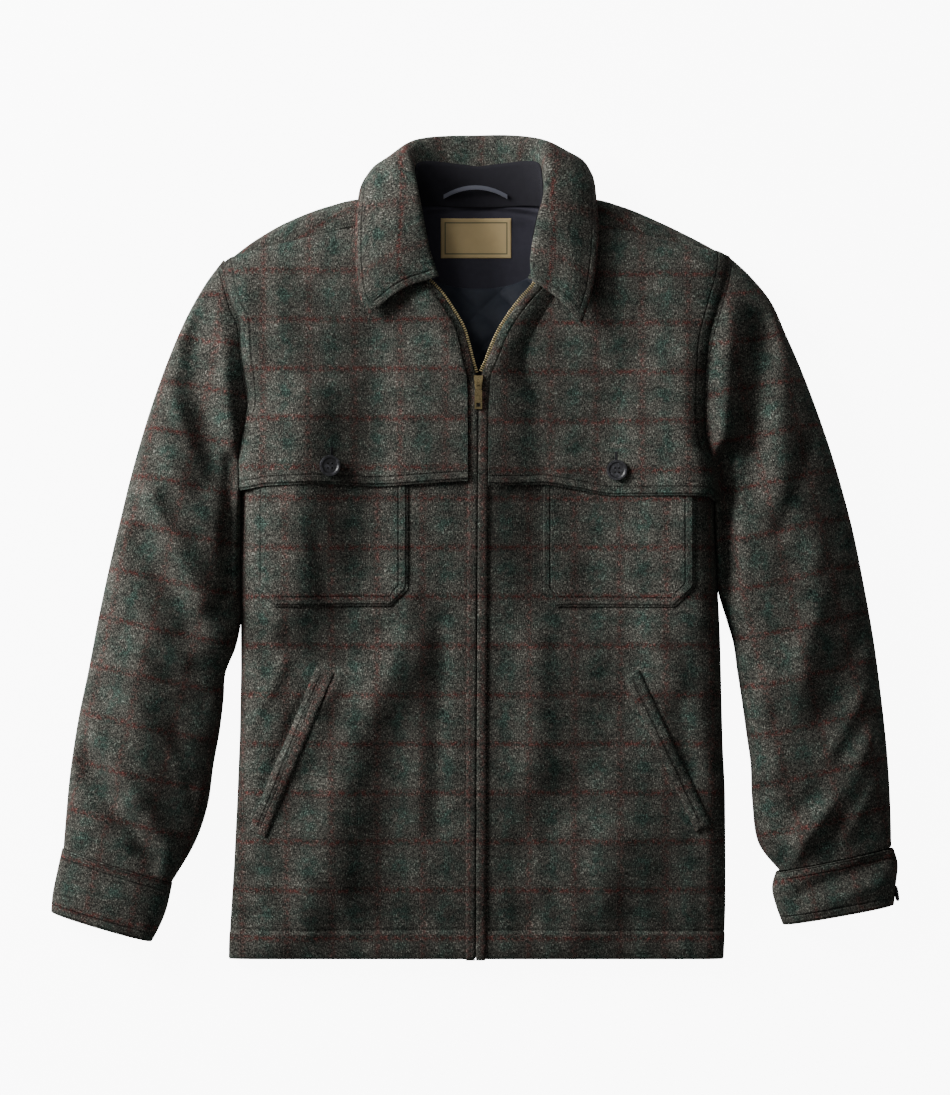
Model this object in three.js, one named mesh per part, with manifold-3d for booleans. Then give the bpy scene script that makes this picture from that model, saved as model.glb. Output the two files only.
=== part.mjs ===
// A zipped shirt jacket of checked wool, laid flat on its back with the front up.
// Sizes are in millimetres. x runs to the viewer's right from the middle of the span,
// y runs up the jacket from the hem, z runs up from the surface it lies on.
import * as THREE from "three";
import { mergeVertices } from "three/addons/utils/BufferGeometryUtils.js";
import Module from "manifold-3d";

const wasm = await Module();
wasm.setup();
const { Manifold, Mesh: SolidMesh } = wasm;

// Cloth and seams
const WOOL = 2.4;
const GAP = 0.3;
const SEAM_HALF = 0.2;
const CUFF_CLOTH = 3.6;
const COLLAR_HALF = 2.4;
const LINING_CLOTH = 1.2;
const YOKE_LIFT = 2 * GAP + WOOL;
const YOKE_TOP = YOKE_LIFT + WOOL;

// Heights of the closed tube above the surface
const SIDE_SEAM_HEIGHT = 14;
const HEM_SEAM_HEIGHT = 8;
const HEM_RISE = 94;
const SIDE_ROUND = 20;
const SHOULDER_ROUND = 38;
const SHOULDER_DROP = 4;
const SHOULDER_SEAM_HEIGHT = 25;
const ARMHOLE_EDGE_HEIGHT = 13;
const ARMHOLE_HEIGHT = 38;

// Height of the front's outer face up the jacket: y, height
const FRONT_HEIGHT = [
  [0, 15],
  [12, 18],
  [29, 19],
  [60, 25],
  [120, 33],
  [200, 38],
  [300, 41],
  [400, 43],
  [480, 44],
  [560, 43],
  [620, 42],
  [660, 40],
  [700, 36],
  [745, 31],
];

// Each side of the body. edge is the zip edge, then the V and the neckline: y, x.
// side is the side seam, armhole the armhole seam: y, x.
const LEFT = {
  name: "left",
  sign: -1,
  edge: [
    [0, 0.6],
    [300, 1.8],
    [560, 3.2],
    [584, 1.6],
    [598, -2.4],
    [619, -7.6],
    [632, -11.6],
    [648, -20.6],
    [666, -32.6],
    [680, -46],
    [690, -57],
    [703, -65],
    [725, -73],
    [742, -80],
  ],
  side: [
    [0, -247],
    [21, -246.5],
    [81, -242.5],
    [161, -238.5],
    [241, -235.5],
    [321, -234.5],
    [395, -235.5],
    [473, -234.5],
    [500, -236],
    [518, -234.5],
  ],
  armhole: [
    [518, -234.5],
    [526, -231.5],
    [544, -226.5],
    [561, -224],
    [608, -229.5],
    [640, -231.5],
    [661, -240],
    [690, -248],
    [703, -252.3],
  ],
  shoulder: { y: 703, underarm: 518 },
  neckPoint: [-80, 742],
};

const RIGHT = {
  name: "right",
  sign: 1,
  edge: [
    [0, 1.4],
    [300, 2.6],
    [560, 4.2],
    [584, 6.4],
    [598, 12],
    [613, 18],
    [627, 24],
    [642, 33],
    [661, 47],
    [676, 60],
    [690, 67],
    [703, 73],
    [725, 82],
    [742, 88],
  ],
  side: [
    [0, 250.5],
    [61, 252.5],
    [161, 252],
    [221, 249.5],
    [321, 247],
    [395, 243.5],
    [440, 241.5],
    [457, 242],
    [480, 240],
    [505, 235],
  ],
  armhole: [
    [505, 235],
    [513, 230],
    [542, 227],
    [582, 228],
    [613, 230],
    [651, 239],
    [689, 249],
    [709, 252.5],
  ],
  shoulder: { y: 709, underarm: 505 },
  neckPoint: [88, 742],
};

// Rows of the body from hem to shoulder. centre is y at the zip edge, part the share of the
// armhole below the row, where the row has passed the underarm.
const BODY_ROWS = [
  { centre: 0 },
  { centre: 12 },
  { centre: 27 },
  { centre: 31 },
  { centre: 62 },
  { centre: 94 },
  { centre: 127 },
  { centre: 160 },
  { centre: 193 },
  { centre: 226 },
  { centre: 259 },
  { centre: 292 },
  { centre: 324 },
  { centre: 356 },
  { centre: 388 },
  { centre: 420 },
  { centre: 450 },
  { centre: 478 },
  { centre: 500 },
  { centre: 520, part: 0 },
  { centre: 530, part: 0.017 },
  { centre: 542, part: 0.067 },
  { centre: 560, part: 0.146 },
  { centre: 584, part: 0.25 },
  { centre: 606, part: 0.371 },
  { centre: 628, part: 0.5 },
  { centre: 648, part: 0.629 },
  { centre: 666, part: 0.75 },
  { centre: 684, part: 0.854 },
  { centre: 708, part: 0.933 },
  { centre: 742, part: 0.978 },
];

// Columns of a front: from the zip edge in millimetres, then as shares, then from the side.
const PLACKET_WIDTH = 9.5;
const FRONT_SHARES = [0.16, 0.33, 0.5, 0.67, 0.84];
const FRONT_SIDE_STEPS = [20, 12, 6, 2, 0];

// Soft ridges (lift above 0) and troughs in the top cloth: from, to, half width, lift.
const FOLDS = [
  { x1: -166, y1: 600, x2: -176, y2: 360, width: 34, lift: 11 },
  { x1: -92, y1: 560, x2: -104, y2: 390, width: 24, lift: -5 },
  { x1: -100, y1: 640, x2: -108, y2: 610, width: 18, lift: -3 },
  { x1: -210, y1: 318, x2: -135, y2: 292, width: 20, lift: -7 },
  { x1: -58, y1: 312, x2: -96, y2: 258, width: 24, lift: 7 },
  { x1: -121, y1: 218, x2: -136, y2: 165, width: 26, lift: 8 },
  { x1: -144, y1: 122, x2: -147, y2: 104, width: 26, lift: 8 },
  { x1: -166, y1: 64, x2: -190, y2: 24, width: 26, lift: 7 },
  { x1: -82, y1: 230, x2: -84, y2: 60, width: 24, lift: -3.5 },
  { x1: -140, y1: 272, x2: -180, y2: 194, width: 14, lift: 4 },
  { x1: 126, y1: 620, x2: 122, y2: 380, width: 58, lift: -16 },
  { x1: 214, y1: 600, x2: 216, y2: 340, width: 22, lift: 3 },
  { x1: 62, y1: 320, x2: 62, y2: 205, width: 18, lift: 4.5 },
  { x1: 148, y1: 316, x2: 135, y2: 256, width: 30, lift: -5 },
  { x1: 112, y1: 172, x2: 60, y2: 112, width: 26, lift: -4 },
  { x1: 158, y1: 146, x2: 90, y2: 36, width: 28, lift: 7 },
  { x1: 178, y1: 334, x2: 198, y2: 281, width: 16, lift: 3.5 },
  { x1: -264, y1: 640, x2: -240, y2: 520, width: 12, lift: 5 },
  { x1: -280, y1: 620, x2: -254, y2: 490, width: 16, lift: -8 },
  { x1: -320, y1: 462, x2: -270, y2: 362, width: 16, lift: 6 },
  { x1: -335, y1: 425, x2: -285, y2: 335, width: 16, lift: -5 },
  { x1: -334, y1: 310, x2: -334, y2: 170, width: 26, lift: 4 },
  { x1: -394, y1: 252, x2: -305, y2: 112, width: 14, lift: 5 },
  { x1: -384, y1: 190, x2: -318, y2: 104, width: 13, lift: -6 },
  { x1: 255, y1: 640, x2: 247, y2: 540, width: 12, lift: 4 },
  { x1: 277, y1: 630, x2: 262, y2: 470, width: 16, lift: -10 },
  { x1: 287, y1: 580, x2: 300, y2: 470, width: 16, lift: 6 },
  { x1: 325, y1: 381, x2: 293, y2: 294, width: 16, lift: 5 },
  { x1: 293, y1: 294, x2: 293, y2: 194, width: 16, lift: 5 },
  { x1: 398, y1: 221, x2: 326, y2: 125, width: 15, lift: 6 },
  { x1: 372, y1: 190, x2: 330, y2: 150, width: 14, lift: -4 },
];

// Sleeve stations from the armhole to the cuff: the outer and inner fold of the flat
// sleeve, its height, and how much of the armhole's curve is left in the station.
const SLEEVE_LEFT = [
  { ox: -252.6, oy: 703, ix: -234.8, iy: 518, height: 38, bow: 1 },
  { ox: -271, oy: 678, ix: -238.2, iy: 494, height: 43, bow: 0.8 },
  { ox: -289, oy: 646, ix: -237.2, iy: 468, height: 46, bow: 0.55 },
  { ox: -304, oy: 612, ix: -236.8, iy: 440, height: 47, bow: 0.35 },
  { ox: -319, oy: 572, ix: -236.8, iy: 410, height: 48, bow: 0.2 },
  { ox: -332, oy: 532, ix: -237, iy: 378, height: 48, bow: 0.1 },
  { ox: -345, oy: 486, ix: -236.8, iy: 344, height: 48, bow: 0 },
  { ox: -356, oy: 441, ix: -239.5, iy: 315, height: 47, bow: 0 },
  { ox: -367, oy: 394, ix: -250, iy: 288, height: 46, bow: 0 },
  { ox: -378, oy: 342, ix: -252, iy: 262, height: 45, bow: 0 },
  { ox: -388, oy: 290, ix: -256, iy: 229, height: 44, bow: 0 },
  { ox: -398, oy: 242, ix: -262, iy: 196, height: 43, bow: 0 },
  { ox: -406, oy: 190, ix: -268, iy: 155, height: 41, bow: 0 },
  { ox: -410, oy: 150, ix: -281, iy: 117, height: 39, bow: 0 },
  { ox: -413, oy: 113, ix: -304, iy: 78, height: 37, bow: 0 },
];
const SLEEVE_RIGHT = [
  { ox: 252.8, oy: 709, ix: 235.3, iy: 505, height: 38, bow: 1 },
  { ox: 276, oy: 688, ix: 242.4, iy: 484, height: 43, bow: 0.8 },
  { ox: 298, oy: 661, ix: 244, iy: 460, height: 46, bow: 0.55 },
  { ox: 313, oy: 628, ix: 244, iy: 432, height: 47, bow: 0.35 },
  { ox: 327, oy: 596, ix: 245.2, iy: 402, height: 48, bow: 0.2 },
  { ox: 341, oy: 560, ix: 247, iy: 372, height: 48, bow: 0.1 },
  { ox: 355, oy: 520, ix: 253, iy: 342, height: 48, bow: 0 },
  { ox: 367, oy: 481, ix: 260, iy: 318, height: 47, bow: 0 },
  { ox: 380, oy: 432, ix: 264, iy: 290, height: 46, bow: 0 },
  { ox: 391, oy: 378, ix: 268.5, iy: 261, height: 45, bow: 0 },
  { ox: 401, oy: 322, ix: 273.5, iy: 225, height: 44, bow: 0 },
  { ox: 409, oy: 262, ix: 277.5, iy: 196, height: 43, bow: 0 },
  { ox: 415, oy: 205, ix: 279, iy: 160, height: 41, bow: 0 },
  { ox: 418, oy: 155, ix: 285, iy: 118, height: 39, bow: 0 },
  { ox: 419, oy: 114, ix: 306, iy: 90, height: 37, bow: 0 },
];

// Cuff stations, from the sleeve seam to the free edge.
const CUFF_LEFT = [
  { ox: -414.2, oy: 112.3, ix: -303.4, iy: 77.2, height: 38, bow: 0 },
  { ox: -420, oy: 86, ix: -309, iy: 52, height: 37, bow: 0 },
  { ox: -424, oy: 66, ix: -316, iy: 34, height: 36, bow: 0 },
  { ox: -425.5, oy: 48, ix: -324.5, iy: 18, height: 35, bow: 0 },
];
const CUFF_RIGHT = [
  { ox: 421, oy: 112.4, ix: 303, iy: 88.4, height: 38, bow: 0 },
  { ox: 425.5, oy: 96, ix: 299, iy: 72, height: 37, bow: 0 },
  { ox: 422, oy: 76, ix: 303, iy: 54, height: 36, bow: 0 },
  { ox: 419, oy: 55, ix: 310, iy: 35, height: 35, bow: 0 },
];
const SLEEVE_SIDE_HEIGHT = 13;
const SLEEVE_ROWS = 22;
const CUFF_ROWS = 4;
const RING_TOP_STEPS = 12;
const RING_UNDER_STEPS = 6;
const RING_CROWN = 0.75;
const RING_REST = 1.7;

// Collar stations from the left end round the back of the neck to the right end. Each has
// five points across the middle of its cloth: neck seam, stand, roll, belly and free edge.
const COLLAR = [
  [[-49, 683, 43], [-43, 684, 47], [-39, 682, 52.5], [-72, 670, 56], [-104, 645, 53.5]],
  [[-59, 703, 41], [-52, 706, 46], [-48, 707, 55], [-86, 690, 57], [-114.5, 667, 51.5]],
  [[-67, 725, 39], [-58, 733, 46], [-54, 738, 57], [-90, 728, 56], [-118.3, 717, 47]],
  [[-73, 741, 35], [-63, 755, 44], [-59, 767, 56], [-93, 765, 50], [-115.5, 762, 38]],
  [[-70, 751, 28], [-63, 774, 38], [-65, 795, 48], [-97, 792, 35], [-109, 782, 20]],
  [[-60, 757, 20], [-57, 787, 31], [-68, 811, 37], [-88, 801, 19], [-95, 784, 9]],
  [[-42, 761, 13.5], [-43, 793, 23], [-55, 821, 25], [-64, 806, 8], [-66, 778, 4]],
  [[-20, 763, 9.5], [-21, 795, 17.5], [-26, 825, 16], [-30, 806, 4], [-31, 773, 3.6]],
  [[4, 764, 8.5], [4, 796, 15.5], [4, 826, 12.5], [4, 806, 3.8], [4, 771, 3.6]],
  [[28, 763, 9.5], [29, 795, 17.5], [34, 825.5, 16], [38, 806, 4], [39, 773, 3.6]],
  [[50, 761, 13.5], [51, 793, 23], [60, 822, 25], [72, 807, 8], [76, 779, 4]],
  [[68, 757, 20], [65, 787, 31], [73, 814, 37], [97, 806, 19], [105, 788, 9]],
  [[78, 751, 28], [71, 774, 38], [74, 796, 48], [106, 797, 35], [117, 786, 20]],
  [[81, 741, 35], [73, 755, 44], [73, 767, 56], [103, 768, 50], [121, 762, 38]],
  [[75, 725, 39], [67, 733, 46], [66, 737, 57], [97, 728, 56], [123, 717, 47]],
  [[67, 700, 41], [61, 702, 46], [60, 700, 55], [93, 686, 57], [116, 666, 51.5]],
  [[60, 681, 43], [60, 681, 47], [62, 677, 52.5], [86, 658, 56], [106, 636, 53.5]],
];
const COLLAR_STATION_STEPS = 2;
const COLLAR_CROSS_STEPS = 3;
// The black band: its cloth, rows up the stand, stations left out at each end, and how far
// it reaches below the seam at the middle of the neck.
const BAND = { cloth: 1, rows: 3, ends: 3, reach: 8, reachStations: 7 };

// The back's upper end by column: where it leaves the surface, its outermost line over the
// shoulder, and the seam that it reaches.
const BACK_TOP = [
  { x: -252, rest: 684, bendY: 702, bendZ: 12, seamY: 699, seamZ: 21 },
  { x: -228, rest: 706, bendY: 721, bendZ: 12.5, seamY: 706.5, seamZ: 25 },
  { x: -193, rest: 725, bendY: 741, bendZ: 13, seamY: 717, seamZ: 26 },
  { x: -150, rest: 741, bendY: 757, bendZ: 14, seamY: 729, seamZ: 27 },
  { x: -117, rest: 746, bendY: 764, bendZ: 15, seamY: 737, seamZ: 28.5 },
  { x: -95, rest: 742, bendY: 762, bendZ: 17, seamY: 741, seamZ: 29.5 },
  { x: -80, rest: 736, bendY: 755, bendZ: 20, seamY: 744, seamZ: 29 },
  { x: -63, rest: 740, bendY: 748, bendZ: 8, seamY: 753, seamZ: 15 },
  { x: -43, rest: 747, bendY: 753, bendZ: 4, seamY: 757.5, seamZ: 9 },
  { x: 4, rest: 749, bendY: 756, bendZ: 2, seamY: 762, seamZ: 5 },
  { x: 51, rest: 747, bendY: 753, bendZ: 4, seamY: 757.5, seamZ: 9 },
  { x: 71, rest: 740, bendY: 748, bendZ: 8, seamY: 753, seamZ: 15 },
  { x: 88, rest: 736, bendY: 755, bendZ: 20, seamY: 744, seamZ: 29 },
  { x: 103, rest: 742, bendY: 762, bendZ: 17, seamY: 741, seamZ: 29.5 },
  { x: 121, rest: 746, bendY: 764, bendZ: 15, seamY: 737, seamZ: 28.5 },
  { x: 150, rest: 741, bendY: 757, bendZ: 14, seamY: 730, seamZ: 27 },
  { x: 190, rest: 725, bendY: 741, bendZ: 13, seamY: 719, seamZ: 26 },
  { x: 229, rest: 707, bendY: 722, bendZ: 12.5, seamY: 711, seamZ: 25 },
  { x: 252, rest: 688, bendY: 709, bendZ: 12, seamY: 706.5, seamZ: 21 },
];
const BACK_EDGE_STEPS = [0, 0.6, 3.5, 14];
const BACK_EDGE_SHARES = [1, 0.6, 0.18, 0];
const BACK_LOW_ROWS = 8;
const BACK_INNER_HALF = 200;
const BACK_TOP_HALF = 252;
const BACK_FLAT_MARGIN = 6;
// The back's roll over the shoulder, as shares of the way to the bend and then to the seam
const ROLL = { toBend: 0.75, toBendUp: 0.3, toSeam: 0.35, toSeamUp: 0.75 };

// What is cut by an outline, seen from above: x, y.
const YOKE_HEM = {
  left: [
    [-4, 480],
    [-40, 478],
    [-91, 475],
    [-148, 477],
    [-203, 475],
    [-233.6, 471],
  ],
  right: [
    [10, 476],
    [64, 477],
    [93, 473],
    [138, 466],
    [201, 466],
    [228, 465],
    [241.6, 457],
  ],
};
const YOKE_UNDERARM = { left: [-232, 508], right: [234, 493] };
const POCKET = {
  left: { near: -66, far: -220, top: 488, bottom: 355.5, nearCut: 17, farCut: 21 },
  right: { near: 66.5, far: 219.5, top: 484, bottom: 354.5, nearCut: 15, farCut: 20 },
};
const WELT = {
  left: { x1: -149, y1: 292, x2: -217, y2: 128, width: 19 },
  right: { x1: 156, y1: 289, x2: 229, y2: 133, width: 17 },
};

// Lining, facing and label
const LINING = { left: -92, right: 100, bottom: 560, seam: 676, sag: 10 };
const FACING = { left: -57, right: 64, top: 752 };
const QUILT = { width: 41, height: 40, x: 4, y: 651, lift: 3.2 };
const LABEL = { x: 1.6, y: 725.5, width: 71, height: 40, thick: 0.8 };
const LOOP = { x: 1, y: 766, half: 32, rise: 9, wide: 4, thick: 1.6, low: 15.9, tilt: 1.4, arch: 4 };

// Zip and buttons
const TAPE = { under: 5, over: 0.3, thick: 1, bottom: 542, top: 680 };
const CHAIN = { width: 2.6, height: 2.4, bottom: 588, top: 680 };
const SLIDER = {
  x: 3.9,
  low: 571,
  high: 585,
  wide: 9.4,
  narrow: 6,
  thick: 2.2,
  pin: 0.75,
  pinUp: 5,
  pinHigh: 2.1,
  postWide: 1.2,
  postLong: 5,
  postHigh: 3.1,
  postX: 2.1,
  sink: 0.1,
};
const PULL = {
  wide: 7.4,
  neck: 2.4,
  eye: 1.9,
  plateFrom: 5.5,
  length: 24.5,
  thick: 1.6,
  window: 4.2,
  windowHigh: 4,
  windowEnd: 2.2,
  droop: 7.5,
};
const BUTTON = {
  radius: 10.5,
  sides: 20,
  clear: 0.6,
  thick: 3.6,
  foot: 1.2,
  bevel: 0.5,
  rim: 1.7,
  slope: 1.4,
  dish: 1,
  hole: 1,
  holeOffset: 2.1,
};
const CHEST_BUTTONS = [
  { name: "button_left", x: -143.5, y: 495 },
  { name: "button_right", x: 142.5, y: 491 },
];
const CUFF_BUTTON = { x: 422.6, y: 66, z: 15, radius: 8, thick: 3, lean: 8 };

const COLOURS = {
  wool: [0x36362f, 0.95, 0],
  collar: [0x3b3b34, 0.95, 0],
  black: [0x17171b, 0.8, 0],
  lining: [0x1c2028, 0.6, 0],
  label: [0xb19a6b, 0.7, 0],
  brass: [0x8a734a, 0.4, 1],
  tape: [0x1a1a1a, 0.9, 0],
  button: [0x2b2b2b, 0.35, 0],
};

// Interpolation that never overshoots its table of two columns.
function smooth(table, at) {
  const last = table.length - 1;
  if (at <= table[0][0]) return table[0][1];
  if (at >= table[last][0]) return table[last][1];
  let k = 0;
  while (at > table[k + 1][0]) k++;
  const rise = (n) => {
    if (n < 0 || n >= last) return null;
    return (table[n + 1][1] - table[n][1]) / (table[n + 1][0] - table[n][0]);
  };
  const slope = (n) => {
    const before = rise(n - 1);
    const after = rise(n);
    if (before === null) return after;
    if (after === null) return before;
    return before * after <= 0 ? 0 : (2 * before * after) / (before + after);
  };
  const wide = table[k + 1][0] - table[k][0];
  const t = (at - table[k][0]) / wide;
  const t2 = t * t;
  const t3 = t2 * t;
  return (
    (2 * t3 - 3 * t2 + 1) * table[k][1] +
    (t3 - 2 * t2 + t) * wide * slope(k) +
    (3 * t2 - 2 * t3) * table[k + 1][1] +
    (t3 - t2) * wide * slope(k + 1)
  );
}

// A curve through rows of numbers, at t counted in rows.
function through(rows, t) {
  const last = rows.length - 1;
  const k = Math.min(Math.floor(t), last - 1);
  const u = t - k;
  const at = (n) => rows[Math.max(0, Math.min(last, n))];
  return rows[0].map((_, c) => {
    const a = at(k - 1)[c];
    const b = at(k)[c];
    const d = at(k + 1)[c];
    const e = at(k + 2)[c];
    return (
      0.5 *
      (2 * b + (d - a) * u + (2 * a - 5 * b + 4 * d - e) * u * u + (3 * b - a - 3 * d + e) * u ** 3)
    );
  });
}

const mix = (a, b, t) => a + (b - a) * t;
const clamp = (v) => Math.max(0, Math.min(1, v));
const crown = (t) => Math.sqrt(1 - (1 - clamp(t)) ** 2);
const ease = (t) => clamp(t) ** 2 * (3 - 2 * clamp(t));

// Folds fade out between the hem and a little above it
const FOLDS_FROM = 4;
const FOLDS_RISE = 40;

const sideHeight = (y) => mix(HEM_SEAM_HEIGHT, SIDE_SEAM_HEIGHT, clamp(y / HEM_RISE));

// Height that the folds add at a place on the top cloth.
function foldLift(x, y) {
  let sum = 0;
  for (const f of FOLDS) {
    const dx = f.x2 - f.x1;
    const dy = f.y2 - f.y1;
    const t = clamp(((x - f.x1) * dx + (y - f.y1) * dy) / (dx * dx + dy * dy));
    const away = Math.hypot(x - f.x1 - t * dx, y - f.y1 - t * dy) / f.width;
    sum += f.lift * Math.exp(-away * away);
  }
  return sum;
}

// Height of the armhole's top edge, by the share of the armhole from shoulder to underarm.
function armholeTop(share) {
  const rise = ARMHOLE_HEIGHT - ARMHOLE_EDGE_HEIGHT;
  return ARMHOLE_EDGE_HEIGHT + rise * (1 - (2 * share - 1) ** 2) ** (RING_CROWN / 2);
}

function shoulderLine(side, x) {
  const t = (x - side.neckPoint[0]) / (side.armhole.at(-1)[1] - side.neckPoint[0]);
  return mix(side.neckPoint[1], side.shoulder.y - SHOULDER_DROP, clamp(t));
}

// A point on the outer face of the front under the yoke: row, then share of its width.
function rowEnds(side, row) {
  const { y, underarm } = side.shoulder;
  const above = row.part !== undefined;
  const start = BODY_ROWS.find((r) => r.part === 0).centre;
  const edgeY = above ? mix(underarm, y, row.part) : (row.centre / start) * underarm;
  const edgeX = above ? smooth(side.armhole, edgeY) : smooth(side.side, edgeY);
  return { cx: smooth(side.edge, row.centre), cy: row.centre, ex: edgeX, ey: edgeY, above };
}

function frontPoint(side, row, fromCentre) {
  const ends = rowEnds(side, row);
  const width = Math.abs(ends.ex - ends.cx);
  const share = fromCentre / width;
  const x = mix(ends.cx, ends.ex, share);
  const y = mix(ends.cy, ends.ey, ease(share));
  const fromSide = width - fromCentre;
  let edge = sideHeight(row.centre);
  let round = SIDE_ROUND;
  if (ends.above) {
    edge = Math.max(edge, armholeTop(1 - row.part) - YOKE_TOP);
    round = mix(SIDE_ROUND, 2 * SIDE_ROUND, clamp(row.part * 4));
  }
  const flat = smooth(FRONT_HEIGHT, y) + foldLift(x, y) * ease((y - FOLDS_FROM) / FOLDS_RISE);
  let z = mix(edge, Math.max(flat, edge), crown(fromSide / round));
  const below = shoulderLine(side, x) - y;
  const low = Math.min(z, SHOULDER_SEAM_HEIGHT - YOKE_LIFT + GAP);
  z = mix(low, z, crown(below / SHOULDER_ROUND));
  return new THREE.Vector3(x, y, z);
}

function frontColumns(side, row) {
  const ends = rowEnds(side, row);
  const width = Math.abs(ends.ex - ends.cx);
  const inner = PLACKET_WIDTH;
  const outer = width - FRONT_SIDE_STEPS[0];
  return [
    0,
    inner,
    ...FRONT_SHARES.map((s) => mix(inner, outer, s)),
    ...FRONT_SIDE_STEPS.map((s) => width - s),
  ];
}

const frontGrid = (side, rows) =>
  rows.map((row) => frontColumns(side, row).map((c) => frontPoint(side, row, c)));

// Outward directions on a grid of points. turn is 1 or -1 for the side that faces out.
function directions(grid, turn, ring = false) {
  return grid.map((line, j) =>
    line.map((_, i) => {
      const n = line.length;
      const next = ring ? line[(i + 1) % n] : line[Math.min(i + 1, n - 1)];
      const last = ring ? line[(i - 1 + n) % n] : line[Math.max(i - 1, 0)];
      const up = grid[Math.min(j + 1, grid.length - 1)][i];
      const down = grid[Math.max(j - 1, 0)][i];
      const across = new THREE.Vector3().subVectors(next, last);
      const along = new THREE.Vector3().subVectors(up, down);
      return across.cross(along).multiplyScalar(turn).normalize();
    }),
  );
}

// Keeps a row's directions square to an axis, so that the row's cut edge is square.
function squareRow(row, axis) {
  row.forEach((d) => {
    d.addScaledVector(axis, -d.dot(axis)).normalize();
  });
}

// Keeps a column's directions level, so that a side seam's cut edge lies flat.
function levelColumn(dirs, i) {
  dirs.forEach((line) => {
    line[i].setY(0);
    line[i].setZ(0);
    line[i].normalize();
  });
}

// A closed wall between two offsets of a grid, given as points and triangles.
function wall(grid, dirs, low, high, ring = false) {
  const rows = grid.length;
  const cols = grid[0].length;
  const points = [];
  const layer = (offset) => {
    const first = points.length;
    grid.forEach((line, j) =>
      line.forEach((p, i) => points.push(p.clone().addScaledVector(dirs[j][i], offset))),
    );
    return (j, i) => first + j * cols + (i % cols);
  };
  const top = layer(high);
  const under = layer(low);
  const faces = [];
  const quad = (a, b, c, d) => faces.push([a, b, c], [a, c, d]);
  const span = ring ? cols : cols - 1;
  for (let j = 0; j < rows - 1; j++) {
    for (let i = 0; i < span; i++) {
      quad(top(j, i), top(j, i + 1), top(j + 1, i + 1), top(j + 1, i));
      quad(under(j, i), under(j + 1, i), under(j + 1, i + 1), under(j, i + 1));
      // The lower layer is split along the same line as the upper one.
      const split = faces.length - 2;
      faces[split] = [under(j, i), under(j + 1, i + 1), under(j, i + 1)];
      faces[split + 1] = [under(j, i), under(j + 1, i), under(j + 1, i + 1)];
    }
  }
  for (let i = 0; i < span; i++) {
    quad(top(0, i), under(0, i), under(0, i + 1), top(0, i + 1));
    const e = rows - 1;
    quad(top(e, i), top(e, i + 1), under(e, i + 1), under(e, i));
  }
  if (!ring) {
    for (let j = 0; j < rows - 1; j++) {
      quad(top(j, 0), top(j + 1, 0), under(j + 1, 0), under(j, 0));
      const e = cols - 1;
      quad(top(j, e), under(j, e), under(j + 1, e), top(j + 1, e));
    }
  }
  return { points, faces };
}

function signedVolume({ points, faces }) {
  let sum = 0;
  for (const [a, b, c] of faces) {
    sum += points[a].dot(new THREE.Vector3().crossVectors(points[b], points[c]));
  }
  return sum;
}

// Turns a wall's faces outward if they point in.
function outward(solid) {
  if (signedVolume(solid) < 0) solid.faces = solid.faces.map(([a, b, c]) => [a, c, b]);
  return solid;
}

function toManifold(solid) {
  const { points, faces } = outward(solid);
  return new Manifold(
    new SolidMesh({
      numProp: 3,
      vertProperties: Float32Array.from(points.flatMap((p) => [p.x, p.y, p.z])),
      triVerts: Uint32Array.from(faces.flat()),
    }),
  );
}

// Edges of the cutting outlines where the cloth ends before them
const FAR_SIDE = 262;
const FAR_BELOW = 10;
const FAR_ABOVE = 860;
const DEEP = 20;
const HIGH = 120;

// A three.js geometry as a solid that can be joined and cut.
function solidOf(geometry) {
  const bare = geometry.index ? geometry.toNonIndexed() : geometry;
  bare.deleteAttribute("normal");
  bare.deleteAttribute("uv");
  const merged = mergeVertices(bare, 1e-4);
  return new Manifold(
    new SolidMesh({
      numProp: 3,
      vertProperties: merged.attributes.position.array,
      triVerts: new Uint32Array(merged.index.array),
    }),
  );
}

// An outline seen from above, extruded upward from a height.
function upright(outline, low, high) {
  const shape = new THREE.Shape(outline.map(([x, y]) => new THREE.Vector2(x, y)));
  const depth = high - low;
  const geometry = new THREE.ExtrudeGeometry(shape, { depth, bevelEnabled: false });
  return solidOf(geometry.translate(0, 0, low));
}

const cutTo = (solid, outline) => Manifold.intersection(solid, upright(outline, -DEEP, HIGH));

const jacket = new THREE.Group();
jacket.name = "jacket";

function addGeometry(name, geometry, colour) {
  const [hex, roughness, metalness] = COLOURS[colour];
  geometry.computeVertexNormals();
  const material = new THREE.MeshStandardMaterial({ color: hex, roughness, metalness });
  material.name = colour;
  const mesh = new THREE.Mesh(geometry, material);
  mesh.name = name;
  jacket.add(mesh);
}

function addSolid(name, solid, colour) {
  const { points, faces } = outward(solid);
  const geometry = new THREE.BufferGeometry();
  geometry.setAttribute(
    "position",
    new THREE.Float32BufferAttribute(points.flatMap((p) => [p.x, p.y, p.z]), 3),
  );
  geometry.setIndex(faces.flat());
  addGeometry(name, geometry, colour);
}

function addManifold(name, solid, colour, place = (geometry) => geometry) {
  const pieces = solid.decompose();
  pieces.sort((a, b) => b.volume() - a.volume());
  const mesh = pieces[0].getMesh();
  const geometry = new THREE.BufferGeometry();
  const flat = [];
  for (let v = 0; v < mesh.numVert; v++) {
    const at = v * mesh.numProp;
    flat.push(...mesh.vertProperties.slice(at, at + 3));
  }
  geometry.setAttribute("position", new THREE.Float32BufferAttribute(flat, 3));
  geometry.setIndex([...mesh.triVerts]);
  addGeometry(name, place(geometry), colour);
}

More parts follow.
